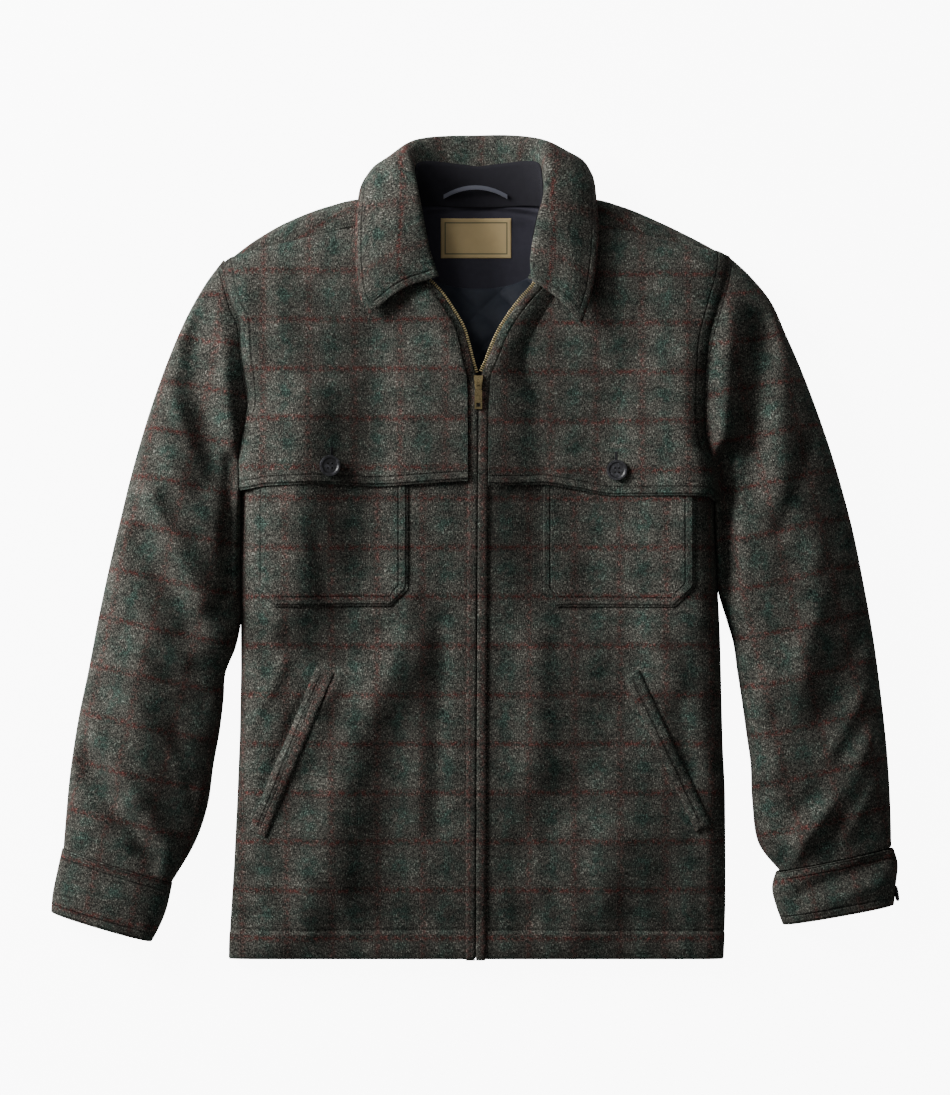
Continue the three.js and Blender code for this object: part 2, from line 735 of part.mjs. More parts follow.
// Armhole points from shoulder to underarm, at the steps that the sleeve's top also has.
function armholeSteps(side, steps) {
  const { y, underarm } = side.shoulder;
  const points = [];
  for (let m = 0; m <= steps; m++) {
    const share = (1 - Math.cos((Math.PI * m) / steps)) / 2;
    const at = mix(y, underarm, share);
    points.push([smooth(side.armhole, at), at]);
  }
  return points;
}

// The body's side of the armhole, as an outline that also spans the shoulder and the side.
function bodyBound(side, steps, top) {
  const s = side.sign;
  const hole = armholeSteps(side, steps)
    .map(([x, y]) => [x - s * SEAM_HALF, y])
    .filter(([, y]) => y < top.at(-1)[1]);
  return [
    ...top,
    ...hole,
    [s * FAR_SIDE, side.shoulder.underarm - 4],
    [s * FAR_SIDE, -FAR_BELOW],
    [-s * FAR_BELOW, -FAR_BELOW],
  ];
}

// The shoulder seam, from past the neckline to the armhole.
function shoulderEnds(side) {
  const s = side.sign;
  const [x, y] = side.neckPoint;
  const end = side.shoulder.y - SHOULDER_DROP;
  return [
    [-s * FAR_BELOW, y],
    [x, y],
    [smooth(side.armhole, end) - s * SEAM_HALF, end],
  ];
}

// Fronts, yokes, plackets, pockets and welts
const frontGrids = {};
for (const side of [LEFT, RIGHT]) {
  const grid = frontGrid(side, BODY_ROWS);
  const dirs = directions(grid, side.sign);
  const sideRows = BODY_ROWS.filter((row) => !row.part).length;
  levelColumn(dirs.slice(0, sideRows), grid[0].length - 1);
  frontGrids[side.name] = grid;
  const layer = (low, high) => toManifold(wall(grid, dirs, low, high));
  const s = side.sign;
  const bound = bodyBound(side, RING_TOP_STEPS, shoulderEnds(side));
  addManifold(`front_${side.name}`, cutTo(layer(-WOOL, 0), bound), "wool");

  const hem = YOKE_HEM[side.name];
  const ditch = side.edge
    .filter(([y]) => y > hem[0][1] && y < 690)
    .map(([y, x]) => [x + s * (PLACKET_WIDTH + GAP), y]);
  const start = [smooth(side.edge, hem[0][1]) + s * (PLACKET_WIDTH + GAP), hem[0][1]];
  const hole = armholeSteps(side, RING_TOP_STEPS)
    .slice(0, -2)
    .map(([x, y]) => [x - s * SEAM_HALF, y])
    .filter(([, y]) => y < side.shoulder.y - SHOULDER_DROP);
  const yokeOutline = [
    start,
    ...hem.slice(1),
    YOKE_UNDERARM[side.name],
    ...hole.reverse(),
    ...shoulderEnds(side).reverse(),
    ...[...ditch].reverse(),
  ];
  addManifold(`yoke_${side.name}`, cutTo(layer(YOKE_LIFT, YOKE_TOP), yokeOutline), "wool");

  const strip = [];
  const steps = [0, 100, 200, 300, 400, 480, 560, ...side.edge.slice(3, 10).map(([y]) => y)];
  steps.forEach((y) => strip.push([smooth(side.edge, y) - s * 3, y]));
  [...steps].reverse().forEach((y) => strip.push([smooth(side.edge, y) + s * PLACKET_WIDTH, y]));
  addManifold(`placket_${side.name}`, cutTo(layer(GAP, YOKE_LIFT), strip), "wool");

  const p = POCKET[side.name];
  const pocket = [
    [p.near, p.top],
    [p.near, p.bottom + p.nearCut],
    [p.near + s * p.nearCut, p.bottom],
    [p.far - s * p.farCut, p.bottom],
    [p.far, p.bottom + p.farCut],
    [p.far, p.top],
  ];
  addManifold(`chest_pocket_${side.name}`, cutTo(layer(GAP, GAP + WOOL), pocket), "wool");

  const w = WELT[side.name];
  const length = Math.hypot(w.x2 - w.x1, w.y2 - w.y1);
  const nx = ((w.y2 - w.y1) / length) * (w.width / 2);
  const ny = (-(w.x2 - w.x1) / length) * (w.width / 2);
  const welt = [
    [w.x1 + nx, w.y1 + ny],
    [w.x2 + nx, w.y2 + ny],
    [w.x2 - nx, w.y2 - ny],
    [w.x1 - nx, w.y1 - ny],
  ];
  addManifold(`welt_${side.name}`, cutTo(layer(GAP, GAP + WOOL), welt), "wool");
}

// Back: flat on the surface, rolled up at the side seams and over the shoulders
function backTopAt(x) {
  const column = (key) => smooth(BACK_TOP.map((c) => [c.x, c[key]]), x);
  return {
    rest: column("rest"),
    bendY: column("bendY"),
    bendZ: column("bendZ"),
    seamY: column("seamY"),
    seamZ: column("seamZ"),
  };
}

function backGrid() {
  const inner = BACK_TOP.filter((c) => Math.abs(c.x) < BACK_INNER_HALF).map((c) => c.x);
  const lowRows = BODY_ROWS.filter((row, k) => {
    if (row.part === undefined) return k % 3 === 0;
    return row.part < 0.1 || (row.part < 0.9 && k % 2 === 0);
  });
  const grid = [];
  for (const row of lowRows) {
    const left = rowEnds(LEFT, row);
    const right = rowEnds(RIGHT, row);
    const span = clamp((row.part ?? 0) * 5);
    const lift = (sideHeight(row.centre) - GAP) * (1 - span);
    const line = [];
    BACK_EDGE_STEPS.forEach((step, k) => {
      const z = lift * BACK_EDGE_SHARES[k];
      line.push(new THREE.Vector3(left.ex + step, left.ey, z));
    });
    const spanLeft = left.ex + BACK_EDGE_STEPS.at(-1);
    const spanRight = right.ex - BACK_EDGE_STEPS.at(-1);
    inner.forEach((x) => {
      const share = (x / BACK_INNER_HALF + 1) / 2;
      const at = mix(spanLeft, spanRight, share);
      const top = backTopAt(x).rest - BACK_FLAT_MARGIN;
      line.push(new THREE.Vector3(at, Math.min(mix(left.ey, right.ey, share), top), 0));
    });
    [...BACK_EDGE_STEPS].reverse().forEach((step, k) => {
      const z = lift * [...BACK_EDGE_SHARES].reverse()[k];
      line.push(new THREE.Vector3(right.ex - step, right.ey, z));
    });
    grid.push(line);
  }
  const template = grid.at(-1).map((p) => p.x);
  const stretch = (k) => {
    const x = template[k];
    const reach = x < 0 ? Math.abs(template[0]) : template.at(-1);
    return (x / reach) * BACK_TOP_HALF;
  };
  const tops = [
    (t) => [t.rest, 0],
    (t) => [mix(t.rest, t.bendY, ROLL.toBend), t.bendZ * ROLL.toBendUp],
    (t) => [t.bendY, t.bendZ],
    (t) => [mix(t.bendY, t.seamY, ROLL.toSeam), mix(t.bendZ, t.seamZ, ROLL.toSeamUp)],
    (t) => [t.seamY, t.seamZ],
  ];
  tops.forEach((place, n) => {
    const line = template.map((x, k) => {
      const at = mix(x, stretch(k), (n + 1) / tops.length);
      const [y, z] = place(backTopAt(at));
      return new THREE.Vector3(at, y, z);
    });
    grid.push(line);
  });
  return grid;
}

const backPoints = backGrid();
const backDirs = directions(backPoints, -1);
levelColumn(backDirs.slice(0, BACK_LOW_ROWS), 0);
levelColumn(backDirs.slice(0, BACK_LOW_ROWS), backPoints[0].length - 1);
squareRow(backDirs.at(-1), new THREE.Vector3(0, 1, 0));
const backCorner = (side) => [[side.armhole.at(-1)[1] - side.sign * SEAM_HALF, FAR_ABOVE]];
const backBound = [
  ...bodyBound(LEFT, RING_UNDER_STEPS, backCorner(LEFT)).slice(0, -1),
  ...bodyBound(RIGHT, RING_UNDER_STEPS, backCorner(RIGHT)).slice(0, -1).reverse(),
];
addManifold("back", cutTo(toManifold(wall(backPoints, backDirs, -WOOL, 0)), backBound), "wool");

// A flattened tube's ring at one station
function ringPoints(side, s) {
  const { y, underarm } = side.shoulder;
  const first = side === LEFT ? SLEEVE_LEFT[0] : SLEEVE_RIGHT[0];
  const ring = [];
  const total = RING_TOP_STEPS + RING_UNDER_STEPS;
  for (let m = 0; m < total; m++) {
    const top = m <= RING_TOP_STEPS;
    const angle = top
      ? (Math.PI * m) / RING_TOP_STEPS
      : Math.PI + (Math.PI * (m - RING_TOP_STEPS)) / RING_UNDER_STEPS;
    const share = (1 - Math.cos(angle)) / 2;
    const sine = Math.abs(Math.sin(angle));
    const bend = smooth(side.armhole, mix(y, underarm, share)) - mix(first.ox, first.ix, share);
    const x = mix(s.ox, s.ix, share) + s.bow * bend + (s.bow === 1 ? side.sign * SEAM_HALF : 0);
    const at = mix(s.oy, s.iy, share);
    let z = SLEEVE_SIDE_HEIGHT * clamp(1 - RING_REST * sine) ** 2;
    if (top) {
      z = SLEEVE_SIDE_HEIGHT + (s.height - SLEEVE_SIDE_HEIGHT) * sine ** RING_CROWN;
      z += foldLift(x, at) * ease(2 * sine - 0.6) * (1 - s.bow ** 4);
    }
    ring.push(new THREE.Vector3(x, at, z));
  }
  return ring;
}

function stationAt(table, t) {
  const keys = ["ox", "oy", "ix", "iy", "height", "bow"];
  const values = through(table.map((s) => keys.map((k) => s[k])), t);
  return Object.fromEntries(keys.map((k, n) => [k, values[n]]));
}

function tube(side, table, rows, cloth, firstAxis, lastAxis) {
  const grid = [];
  for (let k = 0; k <= rows; k++) {
    grid.push(ringPoints(side, stationAt(table, (k / rows) * (table.length - 1))));
  }
  const dirs = directions(grid, side.sign, true);
  squareRow(dirs[0], firstAxis);
  squareRow(dirs[dirs.length - 1], lastAxis);
  return outward(wall(grid, dirs, -cloth, 0, true));
}

function axisOf(table, k) {
  const a = table[k];
  const b = table[k + 1];
  const x = b.ox + b.ix - a.ox - a.ix;
  const y = b.oy + b.iy - a.oy - a.iy;
  return new THREE.Vector3(x, y, 0).normalize();
}

const X_AXIS = new THREE.Vector3(1, 0, 0);
for (const [side, sleeve, cuff] of [
  [LEFT, SLEEVE_LEFT, CUFF_LEFT],
  [RIGHT, SLEEVE_RIGHT, CUFF_RIGHT],
]) {
  const wrist = axisOf(cuff, 0);
  const cuffEnd = axisOf(cuff, 2);
  addSolid(`sleeve_${side.name}`, tube(side, sleeve, SLEEVE_ROWS, WOOL, X_AXIS, wrist), "wool");
  addSolid(`cuff_${side.name}`, tube(side, cuff, CUFF_ROWS, CUFF_CLOTH, wrist, cuffEnd), "wool");
}

// Collar, in one sweep round the neck, and the black band inside its stand
const collarGrid = [];
for (let k = 0; k <= (COLLAR.length - 1) * COLLAR_STATION_STEPS; k++) {
  const station = through(COLLAR.map((s) => s.flat()), k / COLLAR_STATION_STEPS);
  const knots = [];
  for (let c = 0; c < station.length; c += 3) knots.push(station.slice(c, c + 3));
  const line = [];
  for (let i = 0; i <= (knots.length - 1) * COLLAR_CROSS_STEPS; i++) {
    line.push(new THREE.Vector3(...through(knots, i / COLLAR_CROSS_STEPS)));
  }
  collarGrid.push(line);
}
const collarDirs = directions(collarGrid, 1);
addSolid("collar", wall(collarGrid, collarDirs, -COLLAR_HALF, COLLAR_HALF), "collar");

const bandLines = (grid) =>
  grid.slice(BAND.ends, -BAND.ends).map((line) => line.slice(0, BAND.rows + 1));
const bandDirs = bandLines(collarDirs);
const bandGrid = bandLines(collarGrid).map((line, k, all) => {
  const fromMiddle = Math.abs(k - (all.length - 1) / 2);
  const reach = BAND.reach * ease(1 - fromMiddle / BAND.reachStations);
  const down = new THREE.Vector3().subVectors(line[0], line[1]).setLength(reach + 1e-6);
  return [line[0].clone().add(down), ...line.slice(1)];
});
const bandLow = COLLAR_HALF + GAP;
addSolid("neck_band", wall(bandGrid, bandDirs, -bandLow - BAND.cloth, -bandLow), "black");

// Facing and quilted lining over the inside of the back
function liningSeam(x) {
  const middle = (LINING.left + LINING.right) / 2;
  const half = (LINING.right - LINING.left) / 2;
  return LINING.seam + LINING.sag * ((x - middle) / half) ** 2 * 2;
}

function insideGrid(left, right, columns, rows, place) {
  const grid = [];
  for (let j = 0; j <= rows; j++) {
    const line = [];
    for (let i = 0; i <= columns; i++) {
      const x = mix(left, right, i / columns);
      line.push(place(x, j / rows));
    }
    grid.push(line);
  }
  return grid;
}

const quiltLift = (x, y) => {
  const u = (x - QUILT.x) / QUILT.width;
  const v = (y - QUILT.y) / QUILT.height;
  const ridge = (a) => Math.abs(Math.sin(Math.PI * a));
  return QUILT.lift * Math.sqrt(ridge(u + v) * ridge(u - v));
};

const UP = new THREE.Vector3(0, 0, 1);
const straightUp = (grid) => grid.map((line) => line.map(() => UP));

const liningGrid = insideGrid(LINING.left, LINING.right, 20, 12, (x, t) => {
  const y = mix(LINING.bottom, liningSeam(x) - GAP, t);
  return new THREE.Vector3(x, y, WOOL + GAP);
});
const liningTop = liningGrid.map((line) =>
  line.map((p) => new THREE.Vector3(p.x, p.y, p.z + LINING_CLOTH + quiltLift(p.x, p.y))),
);
addSolid("lining", between(liningGrid, liningTop), "lining");

// A closed solid between two grids that have the same rows and columns.
function between(low, high) {
  const dirs = high.map((line, j) => line.map((p, i) => p.clone().sub(low[j][i])));
  return outward(wall(low, dirs, 0, 1));
}

const facingOutline = [];
for (let k = 0; k <= 8; k++) {
  const x = mix(FACING.left, FACING.right, k / 8);
  facingOutline.push([x, liningSeam(x) + GAP]);
}
facingOutline.push([FACING.right, FACING.top], [FACING.left, FACING.top]);
const facingLow = -WOOL - 2 * GAP;
const facingLayer = wall(backPoints, backDirs, facingLow - LINING_CLOTH, facingLow);
addManifold("neck_facing", cutTo(toManifold(facingLayer), facingOutline), "black");

// Label: a plain plate, and the hanger loop, both bare
function boxAt(w, h, d, x, y, z) {
  return solidOf(new THREE.BoxGeometry(w, h, d).translate(x, y, z));
}

// A rod along x, about the origin.
function rodAt(length, radius, sides) {
  return new THREE.CylinderGeometry(radius, radius, length, sides).rotateZ(Math.PI / 2);
}

const labelZ = WOOL + 2 * GAP + LINING_CLOTH + LABEL.thick / 2;
const plate = boxAt(LABEL.width, LABEL.height, LABEL.thick, LABEL.x, LABEL.y, labelZ);
addManifold("label", plate, "label");

const loopSteps = 10;
const loopLine = [];
for (let k = 0; k <= loopSteps; k++) {
  const t = (k / loopSteps) * 2 - 1;
  const arch = 1 - t * t;
  loopLine.push([LOOP.x + t * LOOP.half, LOOP.y + LOOP.rise * arch, LOOP.low + LOOP.arch * arch]);
}
const loopGrid = loopLine.map(([x, y, z]) => [
  new THREE.Vector3(x, y - LOOP.wide / 2, z),
  new THREE.Vector3(x, y + LOOP.wide / 2, z + LOOP.tilt),
]);
addSolid("hanger_loop", wall(loopGrid, straightUp(loopGrid), 0, LOOP.thick), "black");

// Zip: a tape under each front edge, a chain of teeth as one bead, slider and pull tab
function edgeAt(side, y) {
  const line = frontGrids[side.name].map((row) => row[0]);
  const k = Math.min(line.filter((p) => p.y <= y).length, line.length - 1);
  const t = (y - line[k - 1].y) / (line[k].y - line[k - 1].y);
  return new THREE.Vector3().lerpVectors(line[k - 1], line[k], t);
}

for (const side of [LEFT, RIGHT]) {
  const s = side.sign;
  const run = (low, high, out, inn, drop, thick) => {
    const turns = BODY_ROWS.map((row) => row.centre).filter((y) => y > low && y < high);
    const grid = [low, ...turns, high].map((y) => {
      const edge = edgeAt(side, y);
      return [out, inn].map((away) => new THREE.Vector3(edge.x + s * away, y, edge.z - drop));
    });
    return outward(wall(grid, straightUp(grid), 0, thick));
  };
  const drop = WOOL + 2 * GAP + TAPE.thick;
  const tape = run(TAPE.bottom, TAPE.top, TAPE.under, -TAPE.over, drop, TAPE.thick);
  addSolid(`zip_tape_${side.name}`, tape, "tape");
  const chain = run(CHAIN.bottom, CHAIN.top, -0.4, -0.4 - CHAIN.width, WOOL, CHAIN.height);
  addSolid(`zip_teeth_${side.name}`, chain, "brass");
}

const middleHeight = edgeAt(LEFT, SLIDER.low).z + YOKE_LIFT;
const sliderShape = [
  [SLIDER.x - SLIDER.narrow / 2, SLIDER.low],
  [SLIDER.x + SLIDER.narrow / 2, SLIDER.low],
  [SLIDER.x + SLIDER.wide / 2, SLIDER.high],
  [SLIDER.x - SLIDER.wide / 2, SLIDER.high],
];
const sliderZ = middleHeight + GAP;
const bailZ = sliderZ + SLIDER.thick;
const pinY = SLIDER.low + SLIDER.pinUp;
const pinZ = bailZ + SLIDER.pinHigh;
const sliderBody = upright(sliderShape, sliderZ, bailZ);
function bailPost(x) {
  const high = SLIDER.postHigh + SLIDER.sink;
  const z = bailZ - SLIDER.sink + high / 2;
  return boxAt(SLIDER.postWide, SLIDER.postLong, high, SLIDER.x + x, pinY + 1, z);
}
const bailPin = rodAt(2 * SLIDER.postX, SLIDER.pin, 16).translate(SLIDER.x, pinY, pinZ);
const posts = [bailPost(-SLIDER.postX), bailPost(SLIDER.postX)];
const slider = Manifold.union([sliderBody, ...posts, solidOf(bailPin)]);
addManifold("zip_slider", slider, "brass");

// Pull tab: an eye on the slider's pin, then a plate with a square window near its end,
// which droops until its end rests on the plackets
const tabBox = (wide, from, to, thick = PULL.thick) =>
  boxAt(wide, to - from, thick, 0, -(from + to) / 2, 0);
const eye = solidOf(rodAt(PULL.neck, PULL.eye, 20));
const eyeHole = solidOf(rodAt(PULL.neck * 3, SLIDER.pin + GAP, 20));
const neck = tabBox(PULL.neck, SLIDER.pin + GAP, PULL.plateFrom + PULL.windowEnd);
const plateBody = tabBox(PULL.wide, PULL.plateFrom, PULL.length);
const windowTo = PULL.length - PULL.windowEnd;
const windowCut = tabBox(PULL.window, windowTo - PULL.windowHigh, windowTo, PULL.thick * 3);
const tab = Manifold.union([eye, neck, plateBody]).subtract(Manifold.union([windowCut, eyeHole]));
const droop = THREE.MathUtils.degToRad(PULL.droop);
addManifold("zip_pull", tab, "brass", (g) => g.rotateX(droop).translate(SLIDER.x, pinY, pinZ));

// Buttons: a dished disc with four holes
function buttonSolid(radius, thick) {
  const rimInner = radius - BUTTON.bevel - BUTTON.rim;
  const profile = [
    [0, 0],
    [radius - BUTTON.foot, 0],
    [radius, thick / 2],
    [radius - BUTTON.bevel, thick],
    [rimInner, thick],
    [rimInner - BUTTON.slope, thick - BUTTON.dish],
    [0, thick - BUTTON.dish],
  ];
  const corners = profile.map(([r, h]) => new THREE.Vector2(r, h));
  const disc = solidOf(new THREE.LatheGeometry(corners, BUTTON.sides).rotateX(Math.PI / 2));
  const holes = [-1, 1].flatMap((a) =>
    [-1, 1].map((b) => {
      const bore = new THREE.CylinderGeometry(BUTTON.hole, BUTTON.hole, thick * 3, 8);
      bore.rotateX(Math.PI / 2);
      return solidOf(bore.translate(a * BUTTON.holeOffset, b * BUTTON.holeOffset, 0));
    }),
  );
  return disc.subtract(Manifold.union(holes));
}

// Height of a piece's top face over a place.
function topHeight(mesh, x, y) {
  const ray = new THREE.Raycaster(new THREE.Vector3(x, y, HIGH), new THREE.Vector3(0, 0, -1));
  return ray.intersectObject(mesh)[0].point.z;
}

// Lays a round piece on another one's top face: leans it as the face leans, then lifts it
// until its whole rim is clear.
function layOn(mesh, x, y, radius) {
  const at = (u, v) => topHeight(mesh, x + u, y + v);
  const lean = new THREE.Vector3(
    at(-radius, 0) - at(radius, 0),
    at(0, -radius) - at(0, radius),
    2 * radius,
  ).normalize();
  const turn = new THREE.Quaternion().setFromUnitVectors(new THREE.Vector3(0, 0, 1), lean);
  let z = at(0, 0);
  for (let i = 0; i < BUTTON.sides; i++) {
    const angle = (i / BUTTON.sides) * 2 * Math.PI;
    const u = radius * Math.cos(angle);
    const v = radius * Math.sin(angle);
    z = Math.max(z, at(u, v) + (lean.x * u + lean.y * v) / lean.z);
  }
  return (geometry) => geometry.applyQuaternion(turn).translate(x, y, z + BUTTON.clear);
}

CHEST_BUTTONS.forEach((b) => {
  const yoke = jacket.getObjectByName(`yoke_${b.x < 0 ? LEFT.name : RIGHT.name}`);
  const solid = buttonSolid(BUTTON.radius, BUTTON.thick);
  addManifold(b.name, solid, "button", layOn(yoke, b.x, b.y, BUTTON.radius));
});

const onCuff = (geometry) =>
  geometry
    .rotateY(Math.PI / 2)
    .rotateZ(THREE.MathUtils.degToRad(CUFF_BUTTON.lean))
    .translate(CUFF_BUTTON.x, CUFF_BUTTON.y, CUFF_BUTTON.z);
const cuffButton = buttonSolid(CUFF_BUTTON.radius, CUFF_BUTTON.thick);
addManifold("cuff_button", cuffButton, "button", onCuff);

// The part's origin is the middle of its underside.
const bounds = new THREE.Box3().setFromObject(jacket);
const middle = bounds.getCenter(new THREE.Vector3());
jacket.position.set(-middle.x, -middle.y, -bounds.min.z);
const group = new THREE.Group();
group.name = "shirt_jacket";
group.add(jacket);

export default group;
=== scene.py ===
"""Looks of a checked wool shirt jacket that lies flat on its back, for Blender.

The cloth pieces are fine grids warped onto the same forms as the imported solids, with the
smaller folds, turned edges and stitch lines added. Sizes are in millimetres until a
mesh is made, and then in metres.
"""

import math

import bmesh
import bpy
import numpy as np
from mathutils import Matrix, Vector


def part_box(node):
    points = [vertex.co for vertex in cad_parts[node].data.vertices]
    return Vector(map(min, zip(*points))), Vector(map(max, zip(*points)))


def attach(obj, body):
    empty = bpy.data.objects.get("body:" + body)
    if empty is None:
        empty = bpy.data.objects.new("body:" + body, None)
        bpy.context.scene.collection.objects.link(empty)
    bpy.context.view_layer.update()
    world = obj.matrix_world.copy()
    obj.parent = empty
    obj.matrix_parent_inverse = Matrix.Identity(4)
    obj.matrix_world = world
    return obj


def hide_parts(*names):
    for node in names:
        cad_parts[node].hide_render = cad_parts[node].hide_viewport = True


bl_info = {
    "name": "Wool shirt jacket",
    "version": (1, 0, 0),
    "blender": (4, 5, 0),
    "location": "3D View > Sidebar > Jacket",
    "description": "Builds the cloth, trim and stage of a shirt jacket laid flat",
    "category": "Object",
}

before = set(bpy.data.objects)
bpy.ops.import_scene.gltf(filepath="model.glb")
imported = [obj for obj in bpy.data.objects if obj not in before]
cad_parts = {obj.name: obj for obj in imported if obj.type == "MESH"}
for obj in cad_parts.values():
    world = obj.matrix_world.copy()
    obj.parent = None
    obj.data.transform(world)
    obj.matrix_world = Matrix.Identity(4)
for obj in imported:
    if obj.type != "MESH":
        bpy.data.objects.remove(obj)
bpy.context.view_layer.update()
MM = 0.001
UP = np.array((0, 0, 1.0))

# Cloth
WOOL = 2.4
GAP = 0.3
CUFF_CLOTH = 3.6
COLLAR_HALF = 2.4
YOKE_LIFT = 2 * GAP + WOOL
YOKE_TOP = YOKE_LIFT + WOOL

# Uneven waves of the cloth, and how far above the hem they and the folds fade in
WAVE_HEIGHT = 0.9
WAVE_SIZE = 34
WAVE_FADE = 40
FOLD_FADE = 36

# Check of the wool: where red lines cross on each piece
CHECK_FRONT = {"left": (-51.5, 316), "right": (54.5, 316)}
CHECK_YOKE = {"left": (-28.5, 543), "right": (30.5, 540)}
CHECK_BACK = (-28.5, 543)
CHECK_SLEEVE = (300, 430)
SLEEVE_LEAN = math.radians(13)

# Heights of the closed tube above the floor
SIDE_SEAM_HEIGHT = 14
HEM_SEAM_HEIGHT = 8
HEM_RISE = 94
SIDE_ROUND = 20
ROUND_CHANGE = 60
SHOULDER_ROUND = 38
SHOULDER_DROP = 4
SHOULDER_SEAM_HEIGHT = 25
ARMHOLE_EDGE_HEIGHT = 13
ARMHOLE_HEIGHT = 38
RING_CROWN = 0.75
RING_REST = 1.7
SLEEVE_SIDE_HEIGHT = 13
UNDERARM_LIFT = 2.6
RING_TOP = 66
RING_UNDER = 26
HEM_BAND = 29
PLACKET_WIDTH = 9.5
PLACKET_TOP = 690
UNDERARM_ROW = 520
TOP_ROW = 742
SEAM_FROM = 690

FRONT_HEIGHT = (
    (0, 15), (12, 18), (29, 19), (60, 25), (120, 33), (200, 38), (300, 41),
    (400, 43), (480, 44), (560, 43), (620, 42), (660, 40), (700, 36), (745, 31),
)
# Rows past the underarm: y at the zip edge, share of the armhole below
ROW_PARTS = (
    (520, 0), (530, 0.017), (542, 0.067), (560, 0.146), (584, 0.25), (606, 0.371),
    (628, 0.5), (648, 0.629), (666, 0.75), (684, 0.854), (708, 0.933), (742, 0.978),
)

# Each side of the body: edge, side seam and armhole seam as y, x
LEFT = {
    "name": "left",
    "sign": -1,
    "edge": (
        (0, 0.6), (300, 1.8), (560, 3.2), (584, 1.6), (598, -2.4), (619, -7.6),
        (632, -11.6), (648, -20.6), (666, -32.6), (680, -46), (690, -57), (703, -65),
        (725, -73), (742, -80),
    ),
    "side": (
        (0, -247), (21, -246.5), (81, -242.5), (161, -238.5), (241, -235.5),
        (321, -234.5), (395, -235.5), (473, -234.5), (500, -236), (518, -234.5),
    ),
    "armhole": (
        (518, -234.5), (526, -231.5), (544, -226.5), (561, -224), (608, -229.5),
        (640, -231.5), (661, -240), (690, -248), (703, -252.3),
    ),
    "shoulder": 703,
    "round": 42,
    "underarm": 518,
    "neck": (-80, 742),
}
RIGHT = {
    "name": "right",
    "sign": 1,
    "edge": (
        (0, 1.4), (300, 2.6), (560, 4.2), (584, 6.4), (598, 12), (613, 18),
        (627, 24), (642, 33), (661, 47), (676, 60), (690, 67), (703, 73),
        (725, 82), (742, 88),
    ),
    "side": (
        (0, 250.5), (61, 252.5), (161, 252), (221, 249.5), (321, 247),
        (395, 243.5), (440, 241.5), (457, 242), (480, 240), (505, 235),
    ),
    "armhole": (
        (505, 235), (513, 230), (542, 227), (582, 228), (613, 230), (651, 239),
        (689, 249), (709, 252.5),
    ),
    "shoulder": 709,
    "round": 23,
    "underarm": 505,
    "neck": (88, 742),
}
SIDES = (LEFT, RIGHT)

# Folds of the top cloth: from x, y to x, y, half width, lift
FOLDS = (
    # Left front and yoke
    (-170, 560, -178, 360, 32, 13),
    (-94, 600, -106, 390, 26, -6.5),
    (-234, 680, -230, 600, 16, 6),
    (-100, 640, -108, 610, 18, -3),
    (-210, 318, -135, 292, 20, -7),
    (-62, 312, -98, 260, 24, 8),
    (-120, 218, -137, 165, 29, 9),
    (-144, 122, -147, 104, 30, 10),
    (-160, 64, -182, 16, 30, 9),
    (-238, 140, -246, 10, 24, -6),
    (-82, 230, -84, 60, 24, -3.5),
    (-14, 596, -48, 662, 13, 5),
    (-140, 272, -180, 194, 12, 4),
    (-34, 340, -38, 130, 11, -4),
    # Right front and yoke
    (123, 620, 121, 380, 56, -17.5),
    (62, 600, 60, 390, 32, -6),
    (216, 600, 216, 340, 24, 5),
    (62, 320, 62, 200, 18, 5.5),
    (150, 316, 138, 240, 32, -6),
    (104, 176, 54, 112, 26, -4.5),
    (142, 112, 104, 20, 30, 7),
    (178, 334, 198, 281, 14, 4.5),
    (205, 250, 214, 190, 10, -3.5),
    (24, 600, 52, 655, 12, 3),
    (62, 590, 96, 668, 18, -7),
    # Left sleeve
    (-252, 652, -240, 520, 9, 5),
    (-284, 640, -262, 480, 19, -13),
    (-244, 500, -244, 372, 8, -8),
    (-320, 462, -270, 362, 15, 9),
    (-335, 425, -285, 335, 15, -8),
    (-334, 310, -334, 170, 26, 8),
    (-394, 252, -305, 112, 13, 8),
    (-398, 208, -318, 104, 12, -9),
    # Right sleeve
    (252, 660, 246, 520, 12, 10),
    (290, 640, 270, 480, 19, -16),
    (251, 505, 252, 365, 9, -20),
    (300, 590, 308, 470, 17, 6),
    (345, 400, 322, 270, 18, 8),
    (293, 284, 293, 194, 16, 5),
    (398, 221, 326, 125, 14, 9),
    (372, 190, 330, 150, 13, -6),
)
